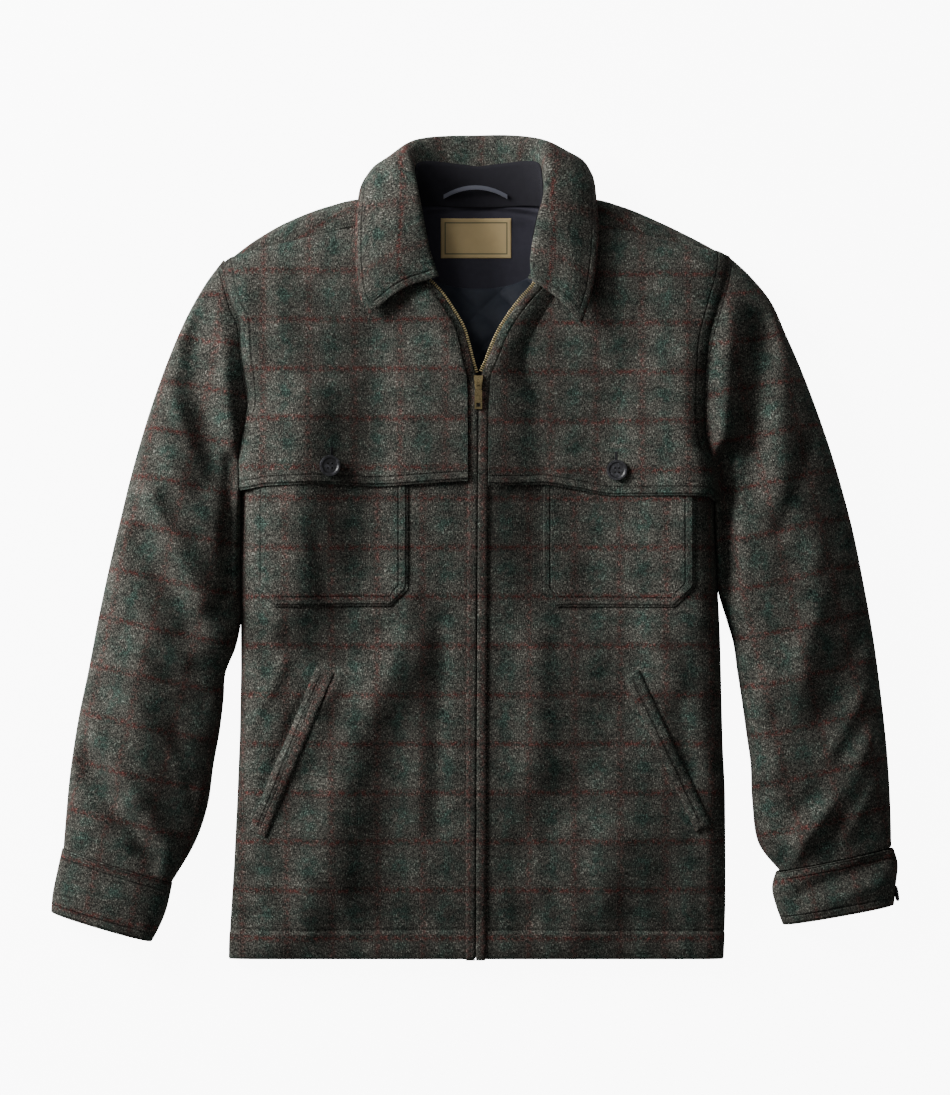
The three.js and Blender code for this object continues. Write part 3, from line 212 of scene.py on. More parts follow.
# Smaller folds that only the cloth here has
CREASES = (
    (-190, 300, -228, 225, 6, 3),
    (-134, 286, -158, 250, 7, 3),
    (-170, 262, -208, 178, 5, -3),
    (-60, 371, -84, 285, 8, 2.2),
    (-206, 470, -200, 330, 9, 2),
    (-160, 440, -150, 370, 9, -1.8),
    (-120, 620, -190, 560, 22, -2.0),
    (-200, 690, -180, 600, 14, 1.6),
    (60, 130, 70, 34, 9, 1.8),
    (110, 120, 118, 30, 10, -2),
    (170, 90, 176, 20, 12, 2),
    (-130, 90, -126, 20, 12, 2),
    (-190, 70, -186, 10, 11, -2),
    (30, 70, 34, 8, 8, 1.6),
    (-60, 60, -58, 6, 9, -1.6),
    (215, 70, 218, 8, 9, 1.6),
    (230, 330, 236, 220, 8, -1.8),
    (150, 590, 170, 500, 12, 2),
    (60, 560, 66, 490, 12, -1.6),
    (-300, 560, -262, 470, 8, 3),
    (-322, 520, -300, 440, 9, -2.5),
    (-355, 380, -290, 300, 9, 3),
    (-350, 330, -268, 262, 8, -3),
    (-372, 300, -286, 190, 8, 3),
    (-392, 222, -330, 150, 7, -3),
    (-400, 168, -345, 118, 7, 3.5),
    (-352, 158, -312, 100, 6, 3.2),
    (-300, 240, -276, 150, 7, -2.2),
    (318, 620, 336, 540, 11, 2.8),
    (335, 520, 305, 430, 10, -3),
    (365, 430, 320, 330, 11, -2.6),
    (390, 330, 345, 240, 11, -3),
    (402, 290, 356, 210, 8, 3),
    (410, 190, 372, 128, 8, 3.5),
    (350, 150, 318, 100, 7, 3),
    (300, 250, 284, 150, 8, -2.6),
    (-405, 96, -340, 40, 8, -2),
    (412, 104, 330, 70, 9, -4),
    (410, 80, 320, 44, 7, 2),
)

# Sleeve and cuff stations: outer x, y, inner x, y, height, share of the armhole's curve
SLEEVE_LEFT = (
    (-252.6, 703, -234.8, 518, 38, 1), (-271, 678, -238.2, 494, 43, 0.8),
    (-289, 646, -234.6, 468, 46, 0.55), (-304, 612, -234.2, 440, 47, 0.35),
    (-319, 572, -234.6, 410, 48, 0.2), (-332, 532, -234.4, 378, 48, 0.1),
    (-345, 486, -234.2, 344, 48, 0), (-356, 441, -239.5, 315, 47, 0),
    (-367, 394, -250, 288, 46, 0), (-378, 342, -252, 262, 45, 0),
    (-388, 290, -256, 229, 44, 0), (-398, 242, -262, 196, 43, 0),
    (-406, 190, -268, 155, 41, 0), (-410, 150, -281, 117, 39, 0),
    (-413, 113, -304, 78, 37, 0),
)
SLEEVE_RIGHT = (
    (252.8, 709, 235.3, 505, 38, 1), (276, 688, 240.4, 484, 43, 0.8),
    (298, 661, 241.6, 460, 46, 0.55), (313, 628, 241.6, 432, 47, 0.35),
    (327, 596, 242.6, 402, 48, 0.2), (341, 560, 244.4, 372, 48, 0.1),
    (355, 520, 253, 342, 48, 0), (367, 481, 260, 318, 47, 0),
    (380, 432, 264, 290, 46, 0), (391, 378, 268.5, 261, 45, 0),
    (401, 322, 273.5, 225, 44, 0), (409, 262, 277.5, 196, 43, 0),
    (415, 205, 279, 160, 41, 0), (418, 155, 285, 118, 39, 0),
    (419, 114, 306, 90, 37, 0),
)
CUFF_LEFT = (
    (-414.2, 112.3, -303.4, 77.2, 38, 0), (-420, 86, -309, 52, 37, 0),
    (-424, 66, -316, 34, 36, 0), (-425.5, 48, -324.5, 18, 35, 0),
)
CUFF_RIGHT = (
    (421, 112.4, 303, 88.4, 38, 0), (425.5, 96, 299, 72, 37, 0),
    (423.6, 76, 303, 54, 36, 0), (421.6, 55, 310, 35, 35, 0),
)

# Collar stations: seam, stand, roll, belly and edge, each x, y, z
COLLAR = (
    ((-49, 683, 43), (-43, 684, 47), (-39, 682, 52.5), (-72, 670, 56), (-104, 645, 53.5)),
    ((-59, 703, 41), (-52, 706, 46), (-48, 707, 55), (-86, 690, 57), (-114.5, 667, 51.5)),
    ((-67, 725, 39), (-58, 733, 46), (-54, 738, 57), (-90, 728, 56), (-118.3, 717, 47)),
    ((-73, 741, 35), (-63, 755, 44), (-59, 767, 56), (-93, 765, 50), (-115.5, 762, 38)),
    ((-70, 751, 28), (-63, 774, 38), (-65, 795, 48), (-97, 792, 35), (-109, 782, 20)),
    ((-60, 757, 20), (-57, 787, 31), (-68, 811, 37), (-88, 801, 19), (-95, 784, 9)),
    ((-42, 761, 13.5), (-43, 793, 23), (-55, 821, 25), (-64, 806, 8), (-66, 778, 4)),
    ((-20, 763, 9.5), (-21, 795, 17.5), (-26, 825, 16), (-30, 806, 4), (-31, 773, 3.6)),
    ((4, 764, 8.5), (4, 796, 15.5), (4, 826, 12.5), (4, 806, 3.8), (4, 771, 3.6)),
    ((28, 763, 9.5), (29, 795, 17.5), (34, 825.5, 16), (38, 806, 4), (39, 773, 3.6)),
    ((50, 761, 13.5), (51, 793, 23), (60, 822, 25), (72, 807, 8), (76, 779, 4)),
    ((68, 757, 20), (65, 787, 31), (73, 814, 37), (97, 806, 19), (105, 788, 9)),
    ((78, 751, 28), (71, 774, 38), (74, 796, 48), (106, 797, 35), (117, 786, 20)),
    ((81, 741, 35), (73, 755, 44), (73, 767, 56), (103, 768, 50), (121, 762, 38)),
    ((75, 725, 39), (67, 733, 46), (66, 737, 57), (97, 728, 56), (123, 717, 47)),
    ((67, 700, 41), (61, 702, 46), (60, 700, 55), (93, 686, 57), (116, 666, 51.5)),
    ((60, 681, 43), (60, 681, 47), (62, 677, 52.5), (86, 658, 56), (106, 636, 53.5)),
)

# The back's upper end: x, rest, bend y, bend z, seam y, seam z
BACK_TOP = (
    (-252, 684, 702, 12, 699, 21), (-228, 706, 721, 12.5, 706.5, 25),
    (-193, 725, 741, 13, 717, 26), (-150, 741, 757, 14, 729, 27),
    (-117, 746, 764, 15, 737, 28.5), (-95, 742, 762, 17, 741, 29.5),
    (-80, 736, 755, 20, 744, 29), (-63, 740, 748, 8, 753, 15),
    (-43, 747, 753, 4, 757.5, 9), (4, 749, 756, 2, 762, 5),
    (51, 747, 753, 4, 757.5, 9), (71, 740, 748, 8, 753, 15),
    (88, 736, 755, 20, 744, 29), (103, 742, 762, 17, 741, 29.5),
    (121, 746, 764, 15, 737, 28.5), (150, 741, 757, 14, 730, 27),
    (190, 725, 741, 13, 719, 26), (229, 707, 722, 12.5, 711, 25),
    (252, 688, 709, 12, 706.5, 21),
)

# The back's rows, and the columns that turn up its sides: inset, share of the height
BACK_ROWS = (
    0, 8, 20, 27, 29, 31, 40, 94, 160, 226, 292, 356, 420, 478, 520, 542, 584, 628, 666,
)
BACK_EDGE = ((0, 1), (0.4, 0.72), (1.2, 0.5), (2.6, 0.28), (5, 0.12), (9, 0.03), (14, 0))
BACK_COLUMNS = 68
ROLL_ROWS = 25
SHOULDER_HALF = 252

YOKE_HEM = {
    "left": ((-233.6, 471), (-203, 475), (-148, 477), (-91, 475), (-40, 478), (-4, 480)),
    "right": (
        (10, 476), (64, 477), (93, 473), (138, 466), (201, 466), (228, 465), (241.6, 457),
    ),
}
# Pockets: near x, far x, top, bottom, near cut, far cut
POCKET = {
    "left": (-66, -220, 488, 355.5, 17, 21),
    "right": (66.5, 219.5, 484, 354.5, 15, 20),
}
# Welts: upper x, y, lower x, y, width
WELT = {"left": (-149, 292, -217, 128, 19), "right": (156, 289, 229, 133, 17)}

# Lining's edges, and the seam to the facing: its middle and how it curves
LINING = {"left": -92, "right": 100, "bottom": 560, "seam": 675}
SEAM_CURVE = (0.003, 6e-7)
QUILT_X = 4
QUILT_Y = 651
FACING = {"left": -57, "right": 64, "top": 763, "under": 15}
LABEL = {"x": 1.6, "y": 725.5, "width": 71, "height": 40, "inset": 4.4}
ZIP_TOP = 680
ZIP_BOTTOM = 588
# A tooth's size, how much narrower its top is, and its place: out from the edge and up
TOOTH = (3.8, 1.4, 2.4)
TOOTH_TAPER = 0.8
TOOTH_PLACE = (1.6, 0.3)
ZIP_POINTS = 240
BUTTONS = {"button_left": (-143.5, 495), "button_right": (142.5, 491)}
# Buttonhole: length and width, and how many radians of stitch wave to a millimetre
BUTTONHOLE = (19, 2.6)
STITCHES = 7.0

# Collar: the station at the middle of the back, and the grid rows that the band leaves free
COLLAR_MIDDLE = 8
BAND_TRIM = 18
BAND_CLOTH = 0.9

# Colours that stay as they are
SHEEN = "#8f9188"
# The band's black, made darker than the facing's: painted shade for the band that lies inside the
# collar stand
BAND_BLACK_SHADED = "#1b1a20"
TAPE = "#101012"
# The hanger loop's black cord drawn grey: painted highlight that stands in for the light its edges
# catch
LOOP_PAINTED_HIGHLIGHT = "#5a5c66"
LABEL_LINE = "#3e4a39"
TEETH = "#e6d3a2"
BUTTON = "#1d1d20"
BUTTON_STREAK = "#4a4a50"
THREAD = "#17181a"
FLOOR = "#f4f4f4"

# Stitch rows on the wool, in mm from a piece's edge: each is a groove with painted shade darkening
# its colour
ONE_ROW = (8.0,)
TWO_ROWS = (1.6, 9.0)

# Stage, in metres and watts. Lamps: name, kind, place, aim, size, power
LAMPS = (
    ("key", "AREA", (-2.3, 1.3, 1.1), (0, 0, 0), 1.2, 175),
    ("top", "AREA", (-0.2, 0.5, 3.0), (0, 0, 0), 2.4, 7),
    ("collar", "SPOT", (-0.55, 0.85, 0.8), (0, 0.325, 0.04), 0.15, 17),
)
SPOT_CONE = math.radians(24)
WORLD_LIGHT = 0.11
FLOOR_SIZE = 12
FLOOR_GLOW = 9.0
CAMERA_HEIGHT = 3.2
CLOTH_HEIGHT = 0.03
VIEW_HEIGHT = 1.095

# The source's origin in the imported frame, from the slider's middle and the back's hem
SLIDER_X = 3.9
_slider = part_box("zip_slider")
_slider_middle = (_slider[0].x + _slider[1].x) / 2 / MM
SHIFT = np.array((_slider_middle - SLIDER_X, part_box("back")[0].y / MM, 0))


def smooth(table, at):
    """A curve through a table of two columns that never overshoots it."""
    xs, ys = np.array(table, float).T
    wide = np.diff(xs)
    rise = np.diff(ys) / wide
    slope = np.concatenate(([rise[0]], np.zeros(len(xs) - 2), [rise[-1]]))
    before, after = rise[:-1], rise[1:]
    same = before * after > 0
    total = np.where(same, before + after, 1)
    slope[1:-1] = np.where(same, 2 * before * after / total, 0)
    at = np.clip(np.asarray(at, float), xs[0], xs[-1])
    k = np.clip(np.searchsorted(xs, at, side="right") - 1, 0, len(xs) - 2)
    t = (at - xs[k]) / wide[k]
    t2, t3 = t * t, t**3
    return (
        (2 * t3 - 3 * t2 + 1) * ys[k]
        + (t3 - 2 * t2 + t) * wide[k] * slope[k]
        + (3 * t2 - 2 * t3) * ys[k + 1]
        + (t3 - t2) * wide[k] * slope[k + 1]
    )


def through(rows, t):
    """A curve through rows of numbers, at t counted in rows."""
    rows = np.asarray(rows, float)
    last = len(rows) - 1
    k = np.minimum(np.floor(t).astype(int), last - 1)
    u = (t - k)[(...,) + (None,) * (rows.ndim - 1)]
    a, b = rows[np.maximum(k - 1, 0)], rows[k]
    d, e = rows[k + 1], rows[np.minimum(k + 2, last)]
    return 0.5 * (
        2 * b + (d - a) * u + (2 * a - 5 * b + 4 * d - e) * u**2 + (3 * b - a - 3 * d + e) * u**3
    )


def mix(a, b, t):
    return a + (b - a) * t


def clamp(v):
    return np.clip(v, 0, 1)


def crown(t):
    return np.sqrt(1 - (1 - clamp(t)) ** 2)


def ease(t):
    t = clamp(t)
    return t * t * (3 - 2 * t)


def bump(away, width):
    return np.exp(-((away / width) ** 2))


def fold_lift(x, y):
    """Height that the folds add at places on the top cloth."""
    total = np.zeros(np.broadcast(x, y).shape)
    for x1, y1, x2, y2, width, lift in FOLDS + CREASES:
        dx, dy = x2 - x1, y2 - y1
        t = clamp(((x - x1) * dx + (y - y1) * dy) / (dx * dx + dy * dy))
        away = np.hypot(x - x1 - t * dx, y - y1 - t * dy)
        total += lift * bump(away, width)
    return total


def wander(x, y, size, seed):
    """Slow uneven waves of height 1, for cloth that is never quite even."""
    a, b = x / size, y / size
    return (
        np.sin(a * 1.7 + seed + 1.3 * np.sin(b * 0.9 + seed))
        + np.sin(b * 2.1 + 2 * seed + 1.1 * np.sin(a * 1.2))
        + np.sin((a + b) * 1.3 + 3 * seed)
    ) / 3


def back_top(x):
    """The back's upper end at x: where it leaves the floor, bend y and z, seam y and z."""
    return [smooth([(row[0], row[k]) for row in BACK_TOP], x) for k in range(1, 6)]


def row_ends(side, c):
    """A row's zip edge x, its far end x and y, its share of the armhole, and if it is there."""
    part = smooth(ROW_PARTS, c)
    above = c >= UNDERARM_ROW
    low = c / UNDERARM_ROW * side["underarm"]
    ey = np.where(above, mix(side["underarm"], side["shoulder"], part), low)
    ex = np.where(above, smooth(side["armhole"], ey), smooth(side["side"], ey))
    return smooth(side["edge"], c), ex, ey, part, above


def armhole_top(share):
    rise = ARMHOLE_HEIGHT - ARMHOLE_EDGE_HEIGHT
    return ARMHOLE_EDGE_HEIGHT + rise * clamp(1 - (2 * share - 1) ** 2) ** (RING_CROWN / 2)


def shoulder_line(side, x):
    nx, ny = side["neck"]
    t = (x - nx) / (side["armhole"][-1][1] - nx)
    return mix(ny, side["shoulder"] - SHOULDER_DROP, clamp(t))


def front_base(side, c, away):
    """Outer face of the front, at row c and away mm from the zip edge."""
    cx, ex, ey, part, above = row_ends(side, c)
    width = np.abs(ex - cx)
    share = away / width
    x = mix(cx, ex, share)
    y = mix(c, ey, ease(share))
    end_y = mix(side["underarm"], side["shoulder"], ROW_PARTS[-1][1])
    end_x = mix(side["edge"][-1][1], smooth(side["armhole"], end_y), share)
    short = back_top(end_x)[3] - mix(TOP_ROW, end_y, ease(share))
    y = y + np.maximum(short - 2 * GAP, 0) * ease((c - SEAM_FROM) / (TOP_ROW - SEAM_FROM))
    side_low = mix(HEM_SEAM_HEIGHT, SIDE_SEAM_HEIGHT, clamp(c / HEM_RISE))
    edge = np.where(above, np.maximum(side_low, armhole_top(1 - part) - YOKE_TOP), side_low)
    gentle = mix(SIDE_ROUND, side["round"], ease((UNDERARM_ROW - c) / ROUND_CHANGE))
    spread = np.where(above, mix(SIDE_ROUND, 2 * SIDE_ROUND, clamp(part * 4)), gentle)
    flat = smooth(FRONT_HEIGHT, y) + fold_lift(x, y) * ease((y + 4) / FOLD_FADE)
    waves = wander(x, y, WAVE_SIZE, side["sign"]) * ease((y - 2) / WAVE_FADE)
    flat += WAVE_HEIGHT * waves
    z = mix(edge, np.maximum(flat, edge), crown((width - away) / spread))
    below = shoulder_line(side, x) - y
    low = np.minimum(z, SHOULDER_SEAM_HEIGHT - YOKE_TOP + 3)
    z = mix(low, z, crown(below / SHOULDER_ROUND))
    return np.stack((x, y, z), -1)


def front_at(side, x, y):
    """Row and distance from the zip edge of a place on the front, seen from above."""
    c = np.array(y, float)
    away = np.zeros_like(c)
    for _ in range(12):
        cx, ex, ey, _part, _above = row_ends(side, c)
        away = np.abs(x - cx)
        share = clamp(away / np.abs(ex - cx))
        c = np.clip(c + y - mix(c, ey, ease(share)), 0, TOP_ROW)
    return c, away


def normals(points, up_at=..., ring=False):
    """Directions off a grid of points, turned to point up at a place or over the whole."""
    if ring:
        across = np.roll(points, -1, 1) - np.roll(points, 1, 1)
    else:
        across = np.gradient(points, axis=1)
    along = np.gradient(points, axis=0)
    n = np.cross(across, along)
    n = n / np.maximum(np.linalg.norm(n, axis=-1, keepdims=True), 1e-9)
    return n if n[up_at][..., 2].mean() > 0 else -n


def front_surface(side, c, away, offset):
    """A grid on the front, moved out by an offset, with the outward directions."""
    base = front_base(side, c, away)
    n = normals(base)
    return base + n * np.asarray(offset)[..., None], n


def new_object(name, mesh, material, nodes=()):
    """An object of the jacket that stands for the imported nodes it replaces."""
    obj = bpy.data.objects.new(name, mesh)
    bpy.context.scene.collection.objects.link(obj)
    mesh.materials.append(material)
    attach(obj, "jacket")
    if nodes:
        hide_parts(*nodes)
    return obj


def dress(node, material):
    """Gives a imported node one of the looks."""
    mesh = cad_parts[node].data
    mesh.materials.clear()
    mesh.materials.append(material)


def grid_mesh(name, points, uv, edge=None, ring=False):
    """A grid of cells warped onto points, with cloth coordinates and distances to its edge."""
    rows, cols = points.shape[:2]
    if ring:
        points = np.concatenate((points, points[:, :1]), 1)
        edge = np.concatenate((edge, edge[:, :1]), 1)
        cols += 1
    bm = bmesh.new()
    bmesh.ops.create_grid(bm, x_segments=cols - 1, y_segments=rows - 1, size=1)
    mesh = bpy.data.meshes.new(name)
    bm.to_mesh(mesh)
    bm.free()
    place = (points + SHIFT).reshape(-1, 3) * MM
    mesh.vertices.foreach_set("co", place.astype(np.float32).ravel())
    corners = np.zeros(len(mesh.loops), np.int32)
    mesh.loops.foreach_get("vertex_index", corners)
    layer = mesh.uv_layers.active or mesh.uv_layers.new(name="cloth")
    layer.data.foreach_set("uv", uv.reshape(-1, 2)[corners].astype(np.float32).ravel())
    if edge is not None:
        attribute = mesh.attributes.new("edge_mm", "FLOAT", "POINT")
        attribute.data.foreach_set("value", edge.astype(np.float32).ravel())
    if ring:
        bm = bmesh.new()
        bm.from_mesh(mesh)
        bmesh.ops.remove_doubles(bm, verts=bm.verts, dist=1e-6)
        bm.to_mesh(mesh)
        bm.free()
    mesh.polygons.foreach_set("use_smooth", [True] * len(mesh.polygons))
    mesh.update()
    return mesh


def face_up(mesh, outward):
    """Turns a mesh's faces the way its outward directions point."""
    centre = len(mesh.polygons) // 2
    poly = mesh.polygons[centre]
    n = outward.reshape(-1, 3)[min(poly.vertices[0], outward.size // 3 - 1)]
    if poly.normal.dot(Vector(n)) < 0:
        mesh.flip_normals()
        mesh.update()


def thicken(obj, thick, soften=0.0):
    """Gives a sheet its cloth's thickness inward, and soft edges."""
    solid = obj.modifiers.new("thickness", "SOLIDIFY")
    solid.thickness = thick * MM
    solid.offset = -1
    if soften:
        bevel = obj.modifiers.new("soft edges", "BEVEL")
        bevel.width = soften * MM
        bevel.segments = 2
        bevel.limit_method = "ANGLE"
        bevel.angle_limit = math.radians(50)


def linear(code):
    """A linear colour from an sRGB hex code."""
    parts = [int(code[k : k + 2], 16) / 255 for k in (1, 3, 5)]
    return [p / 12.92 if p <= 0.04045 else ((p + 0.055) / 1.055) ** 2.4 for p in parts] + [1]


def add_node(tree, kind, **inputs):
    """Adds a shader node. A name after in_ is one of its inputs, any other is a setting."""
    node = tree.nodes.new("ShaderNode" + kind)
    for key, value in inputs.items():
        if key.startswith("in_"):
            name = key[3:]
            socket = node.inputs[int(name)] if name.isdigit() else node.inputs[name]
            if isinstance(value, bpy.types.NodeSocket):
                tree.links.new(value, socket)
            else:
                socket.default_value = value
        else:
            setattr(node, key, value)
    return node


class Tree:
    """Short names for the few kinds of node that the materials use."""

    def __init__(self, name):
        self.material = bpy.data.materials.new(name)
        self.material.use_nodes = True
        self.tree = self.material.node_tree
        self.shader = self.tree.nodes["Principled BSDF"]

    def node(self, kind, **inputs):
        return add_node(self.tree, kind, **inputs)

    def math(self, operation, a, b=0.0):
        return self.node("Math", operation=operation, in_0=a, in_1=b).outputs[0]

    def plus(self, a, b):
        return self.math("ADD", a, b)

    def minus(self, a, b):
        return self.math("SUBTRACT", a, b)

    def times(self, a, b):
        return self.math("MULTIPLY", a, b)

    def set(self, **inputs):
        """Sets inputs of the surface, each named in words joined by low lines."""
        for key, value in inputs.items():
            self.shader.inputs[key.replace("_", " ")].default_value = value

    def noise(self, vector, scale, detail=3.0, rough=0.55, distortion=0.0):
        made = self.node("TexNoise", in_Vector=vector, in_Scale=scale, in_Detail=detail)
        made.inputs["Roughness"].default_value = rough
        made.inputs["Distortion"].default_value = distortion
        return made.outputs["Fac"]

    def band(self, value, low, high):
        """0 below low, 1 above high, smooth between."""
        made = self.node("MapRange", interpolation_type="SMOOTHSTEP", in_0=value)
        made.inputs[1].default_value = low
        made.inputs[2].default_value = high
        return made.outputs[0]

    def blend(self, factor, a, b, mode="MIX"):
        made = self.node("Mix", data_type="RGBA", blend_type=mode)
        for socket, value in ((made.inputs[0], factor), (made.inputs[6], a), (made.inputs[7], b)):
            if isinstance(value, bpy.types.NodeSocket):
                self.tree.links.new(value, socket)
            else:
                socket.default_value = value
        return made.outputs[2]

    def bump(self, height, strength, distance, normal=None):
        made = self.node("Bump", in_Height=height, in_Strength=strength, in_Distance=distance)
        if normal is not None:
            self.tree.links.new(normal, made.inputs["Normal"])
        return made.outputs["Normal"]

    def link(self, socket, name):
        self.tree.links.new(socket, self.shader.inputs[name])


def wool_material(name, colours, stitch_rows=()):
    """Brushed wool: a heather of dark and pale fibres under a faint check of dull red lines and
    soft teal bands, broken by the nap; it looks dry, soft and matt."""
    t = Tree(name)
    uv = t.node("UVMap", uv_map="cloth").outputs[0]
    place = t.node("SeparateXYZ", in_0=uv)
    grain = t.noise(uv, 760, 2, 0.6)
    fibre = t.noise(t.node("Mapping", in_Vector=uv, in_Scale=(1.6, 0.55, 1)).outputs[0], 620, 2, 0.6)
    mid = t.noise(uv, 230, 3, 0.6)
    broad = t.noise(uv, 48, 3, 0.55)
    shifted = t.node("Mapping", in_Vector=uv, in_Location=(3, 1, 0)).outputs[0]
    patch = t.noise(shifted, 95, 3, 0.6)
    # Fibres: from dark through mid grey to pale ends
    value = t.plus(t.times(grain, 0.55), t.times(fibre, 0.45))
    value = t.plus(value, t.times(t.minus(mid, 0.5), 0.22))
    value = t.plus(value, t.times(t.minus(broad, 0.5), 0.16))
    colour = t.blend(t.band(value, 0.37, 0.60), colours["deep"], colours["ground"])
    colour = t.blend(t.times(t.band(value, 0.55, 0.70), 0.85), colour, colours["pale"])

    def lines(coordinate, pitch, offset, near, far, shake):
        """1 on the lines of a check and 0 past a distance in mm, with a ragged edge."""
        spot = t.plus(t.math("DIVIDE", coordinate, pitch * MM), offset)
        saw = t.math("ABSOLUTE", t.minus(t.math("FRACT", spot), 0.5))
        away = t.times(saw, pitch)
        ragged = t.plus(away, t.times(t.minus(grain, 0.5), shake))
        return t.minus(1.0, t.band(ragged, near, far))

    across, up = place.outputs[0], place.outputs[1]
    pitch_across, pitch_up = size_of("check_across"), size_of("check_up")
    teal = t.plus(
        t.times(lines(across, pitch_across, 0.0, 2, 13, 6), 0.7),
        t.times(lines(up, pitch_up, 0.0, 2, 13, 6), 0.5),
    )
    teal = t.times(teal, t.band(patch, 0.34, 0.62))
    colour = t.blend(teal, colour, colours["teal"], "MULTIPLY")
    red = t.math(
        "MAXIMUM",
        t.times(lines(across, pitch_across, 0.5, 0.4, 6.4, 8), 0.62),
        t.times(lines(up, pitch_up, 0.5, 0.4, 5.8, 8), 0.9),
    )
    red = t.times(red, t.band(mid, 0.38, 0.62))
    colour = t.blend(red, colour, colours["red"], "MULTIPLY")
    rust = t.times(t.band(patch, 0.56, 0.72), t.band(grain, 0.5, 0.6))
    colour = t.blend(t.times(rust, 0.28), colour, colours["red"], "MULTIPLY")

    normal = t.bump(t.plus(grain, fibre), 0.5, 0.0011)
    if stitch_rows:
        edge = t.node("Attribute", attribute_name="edge_mm").outputs["Fac"]
        groove = None
        for row in stitch_rows:
            away = t.math("ABSOLUTE", t.minus(edge, row))
            one = t.minus(1.0, t.band(away, 0.15, 1.5))
            groove = one if groove is None else t.math("MAXIMUM", groove, one)
        normal = t.bump(t.minus(1.0, groove), 0.7, 0.0012, normal)
        # Painted shade: the wool's colour is darkened along each stitch groove, on top of the
        # groove's bump
        shade = t.minus(1.0, t.times(groove, 0.34))
        grey = t.node("CombineColor", in_0=shade, in_1=shade, in_2=shade).outputs[0]
        colour = t.blend(1.0, colour, grey, "MULTIPLY")
    t.link(colour, "Base Color")
    t.link(normal, "Normal")
    t.set(Roughness=0.95, Specular_IOR_Level=0.12)
    t.set(Sheen_Weight=0.12, Sheen_Roughness=0.5, Sheen_Tint=colours["sheen"])
    return t.material


def plain_cloth(name, colour, fine, roughness, sheen=0.1):
    """A smooth woven cloth: one dark colour with a faint twill that softens its shine."""
    t = Tree(name)
    uv = t.node("UVMap", uv_map="cloth").outputs[0]
    turned = t.node("Mapping", in_Vector=uv, in_Rotation=(0, 0, 0.9)).outputs[0]
    wave = t.node("TexWave", in_Vector=turned, in_Scale=fine, in_Distortion=0.6).outputs["Fac"]
    cloud = t.noise(uv, 160, 3)
    lift = t.plus(0.8, t.times(cloud, 0.4))
    grey = t.node("CombineColor", in_0=lift, in_1=lift, in_2=lift).outputs[0]
    t.link(t.blend(1.0, colour, grey, "MULTIPLY"), "Base Color")
    t.link(t.bump(wave, 0.35, 0.0004), "Normal")
    t.set(Roughness=roughness, Specular_IOR_Level=0.2, Sheen_Weight=sheen)
    return t.material


def metal_material(name, colour, roughness):
    """Antique brass: warm metal, darkened in patches and brushed by handling."""
    t = Tree(name)
    spot = t.node("TexCoord").outputs["Object"]
    worn = t.noise(spot, 900, 4)
    tone = t.blend(t.band(worn, 0.35, 0.7), colour, [c * 0.45 for c in colour[:3]] + [1])
    t.link(tone, "Base Color")
    t.set(Metallic=1.0, Roughness=roughness)
    t.link(t.bump(worn, 0.2, 0.0002), "Normal")
    return t.material


def button_material(name, colour, light):
    """Dark horn-like resin: streaks of grey under a half gloss."""
    t = Tree(name)
    spot = t.node("TexCoord").outputs["Object"]
    streak = t.noise(spot, 230, 3, 0.6, 1.5)
    t.link(t.blend(t.band(streak, 0.45, 0.75), colour, light), "Base Color")
    t.set(Roughness=0.38)
    return t.material


def label_material(name, colour, line):
    """Woven label: tan cloth with a darker woven frame line, and nothing written on it."""
    t = Tree(name)
    uv = t.node("UVMap", uv_map="cloth").outputs[0]
    place = t.node("SeparateXYZ", in_0=uv)

    def from_edge(coordinate, half):
        return t.minus(half * MM, t.math("ABSOLUTE", coordinate))

    near = t.math(
        "MINIMUM",
        from_edge(place.outputs[0], LABEL["width"] / 2),
        from_edge(place.outputs[1], LABEL["height"] / 2),
    )
    away = t.math("ABSOLUTE", t.minus(near, LABEL["inset"] * MM))
    frame_line = t.minus(1.0, t.band(away, 0.35 * MM, 0.8 * MM))
    threads = t.node("TexWave", in_Vector=uv, in_Scale=480.0, in_Distortion=0.3).outputs["Fac"]
    cloud = t.noise(uv, 90, 3)
    base = t.blend(t.times(cloud, 0.45), colour, [c * 0.62 for c in colour[:3]] + [1])
    t.link(t.blend(t.times(frame_line, 0.85), base, line), "Base Color")
    t.link(t.bump(threads, 0.4, 0.0003), "Normal")
    t.set(Roughness=0.8)
    return t.material


def colour_property(name, description, code):
    return bpy.props.FloatVectorProperty(
        name=name, description=description, default=linear(code), size=4, min=0, max=1,
        subtype="COLOR",
    )


def size_property(name, description, size):
    """A size in mm here, shown in the scene's own unit of length."""
    return bpy.props.FloatProperty(
        name=name, description=description, default=size * MM, min=0.0005, precision=4,
        unit="LENGTH",
    )


class JacketLooks(bpy.types.PropertyGroup):
    """Colours and sizes that a user would change."""

    ground: colour_property("Wool", "Main fibres", "#52514b")
    deep: colour_property("Deep", "Darkest fibres", "#131312")
    pale: colour_property("Pale", "Fibre ends", "#a3a297")
    teal: colour_property("Teal", "Tint of the bands", "#c3f2ee")
    red: colour_property("Red", "Tint of the lines", "#ff8f90")
    lining: colour_property("Lining", "Quilted lining", "#2c313c")
    black: colour_property("Black", "Facing", "#34333c")
    label: colour_property("Label", "Label cloth", "#c3ab7c")
    brass: colour_property("Brass", "Zip metal", "#a8966e")
    check_across: size_property("Check across", "Between two upright red lines", 45.5)
    check_up: size_property("Check up", "Between two level red lines", 49)
    quilt_width: size_property("Quilt width", "Width of a quilted diamond", 41)
    quilt_height: size_property("Quilt height", "Height of a quilted diamond", 40)
    quilt_lift: size_property("Quilt lift", "How far a quilted diamond swells", 2.8)
    tooth_pitch: size_property("Tooth pitch", "Between two teeth of one tape", 2.25)


def size_of(key):
    """A size from the panel, in mm."""
    return round(getattr(bpy.context.scene.jacket_looks, key) / MM, 4)


_made = {}


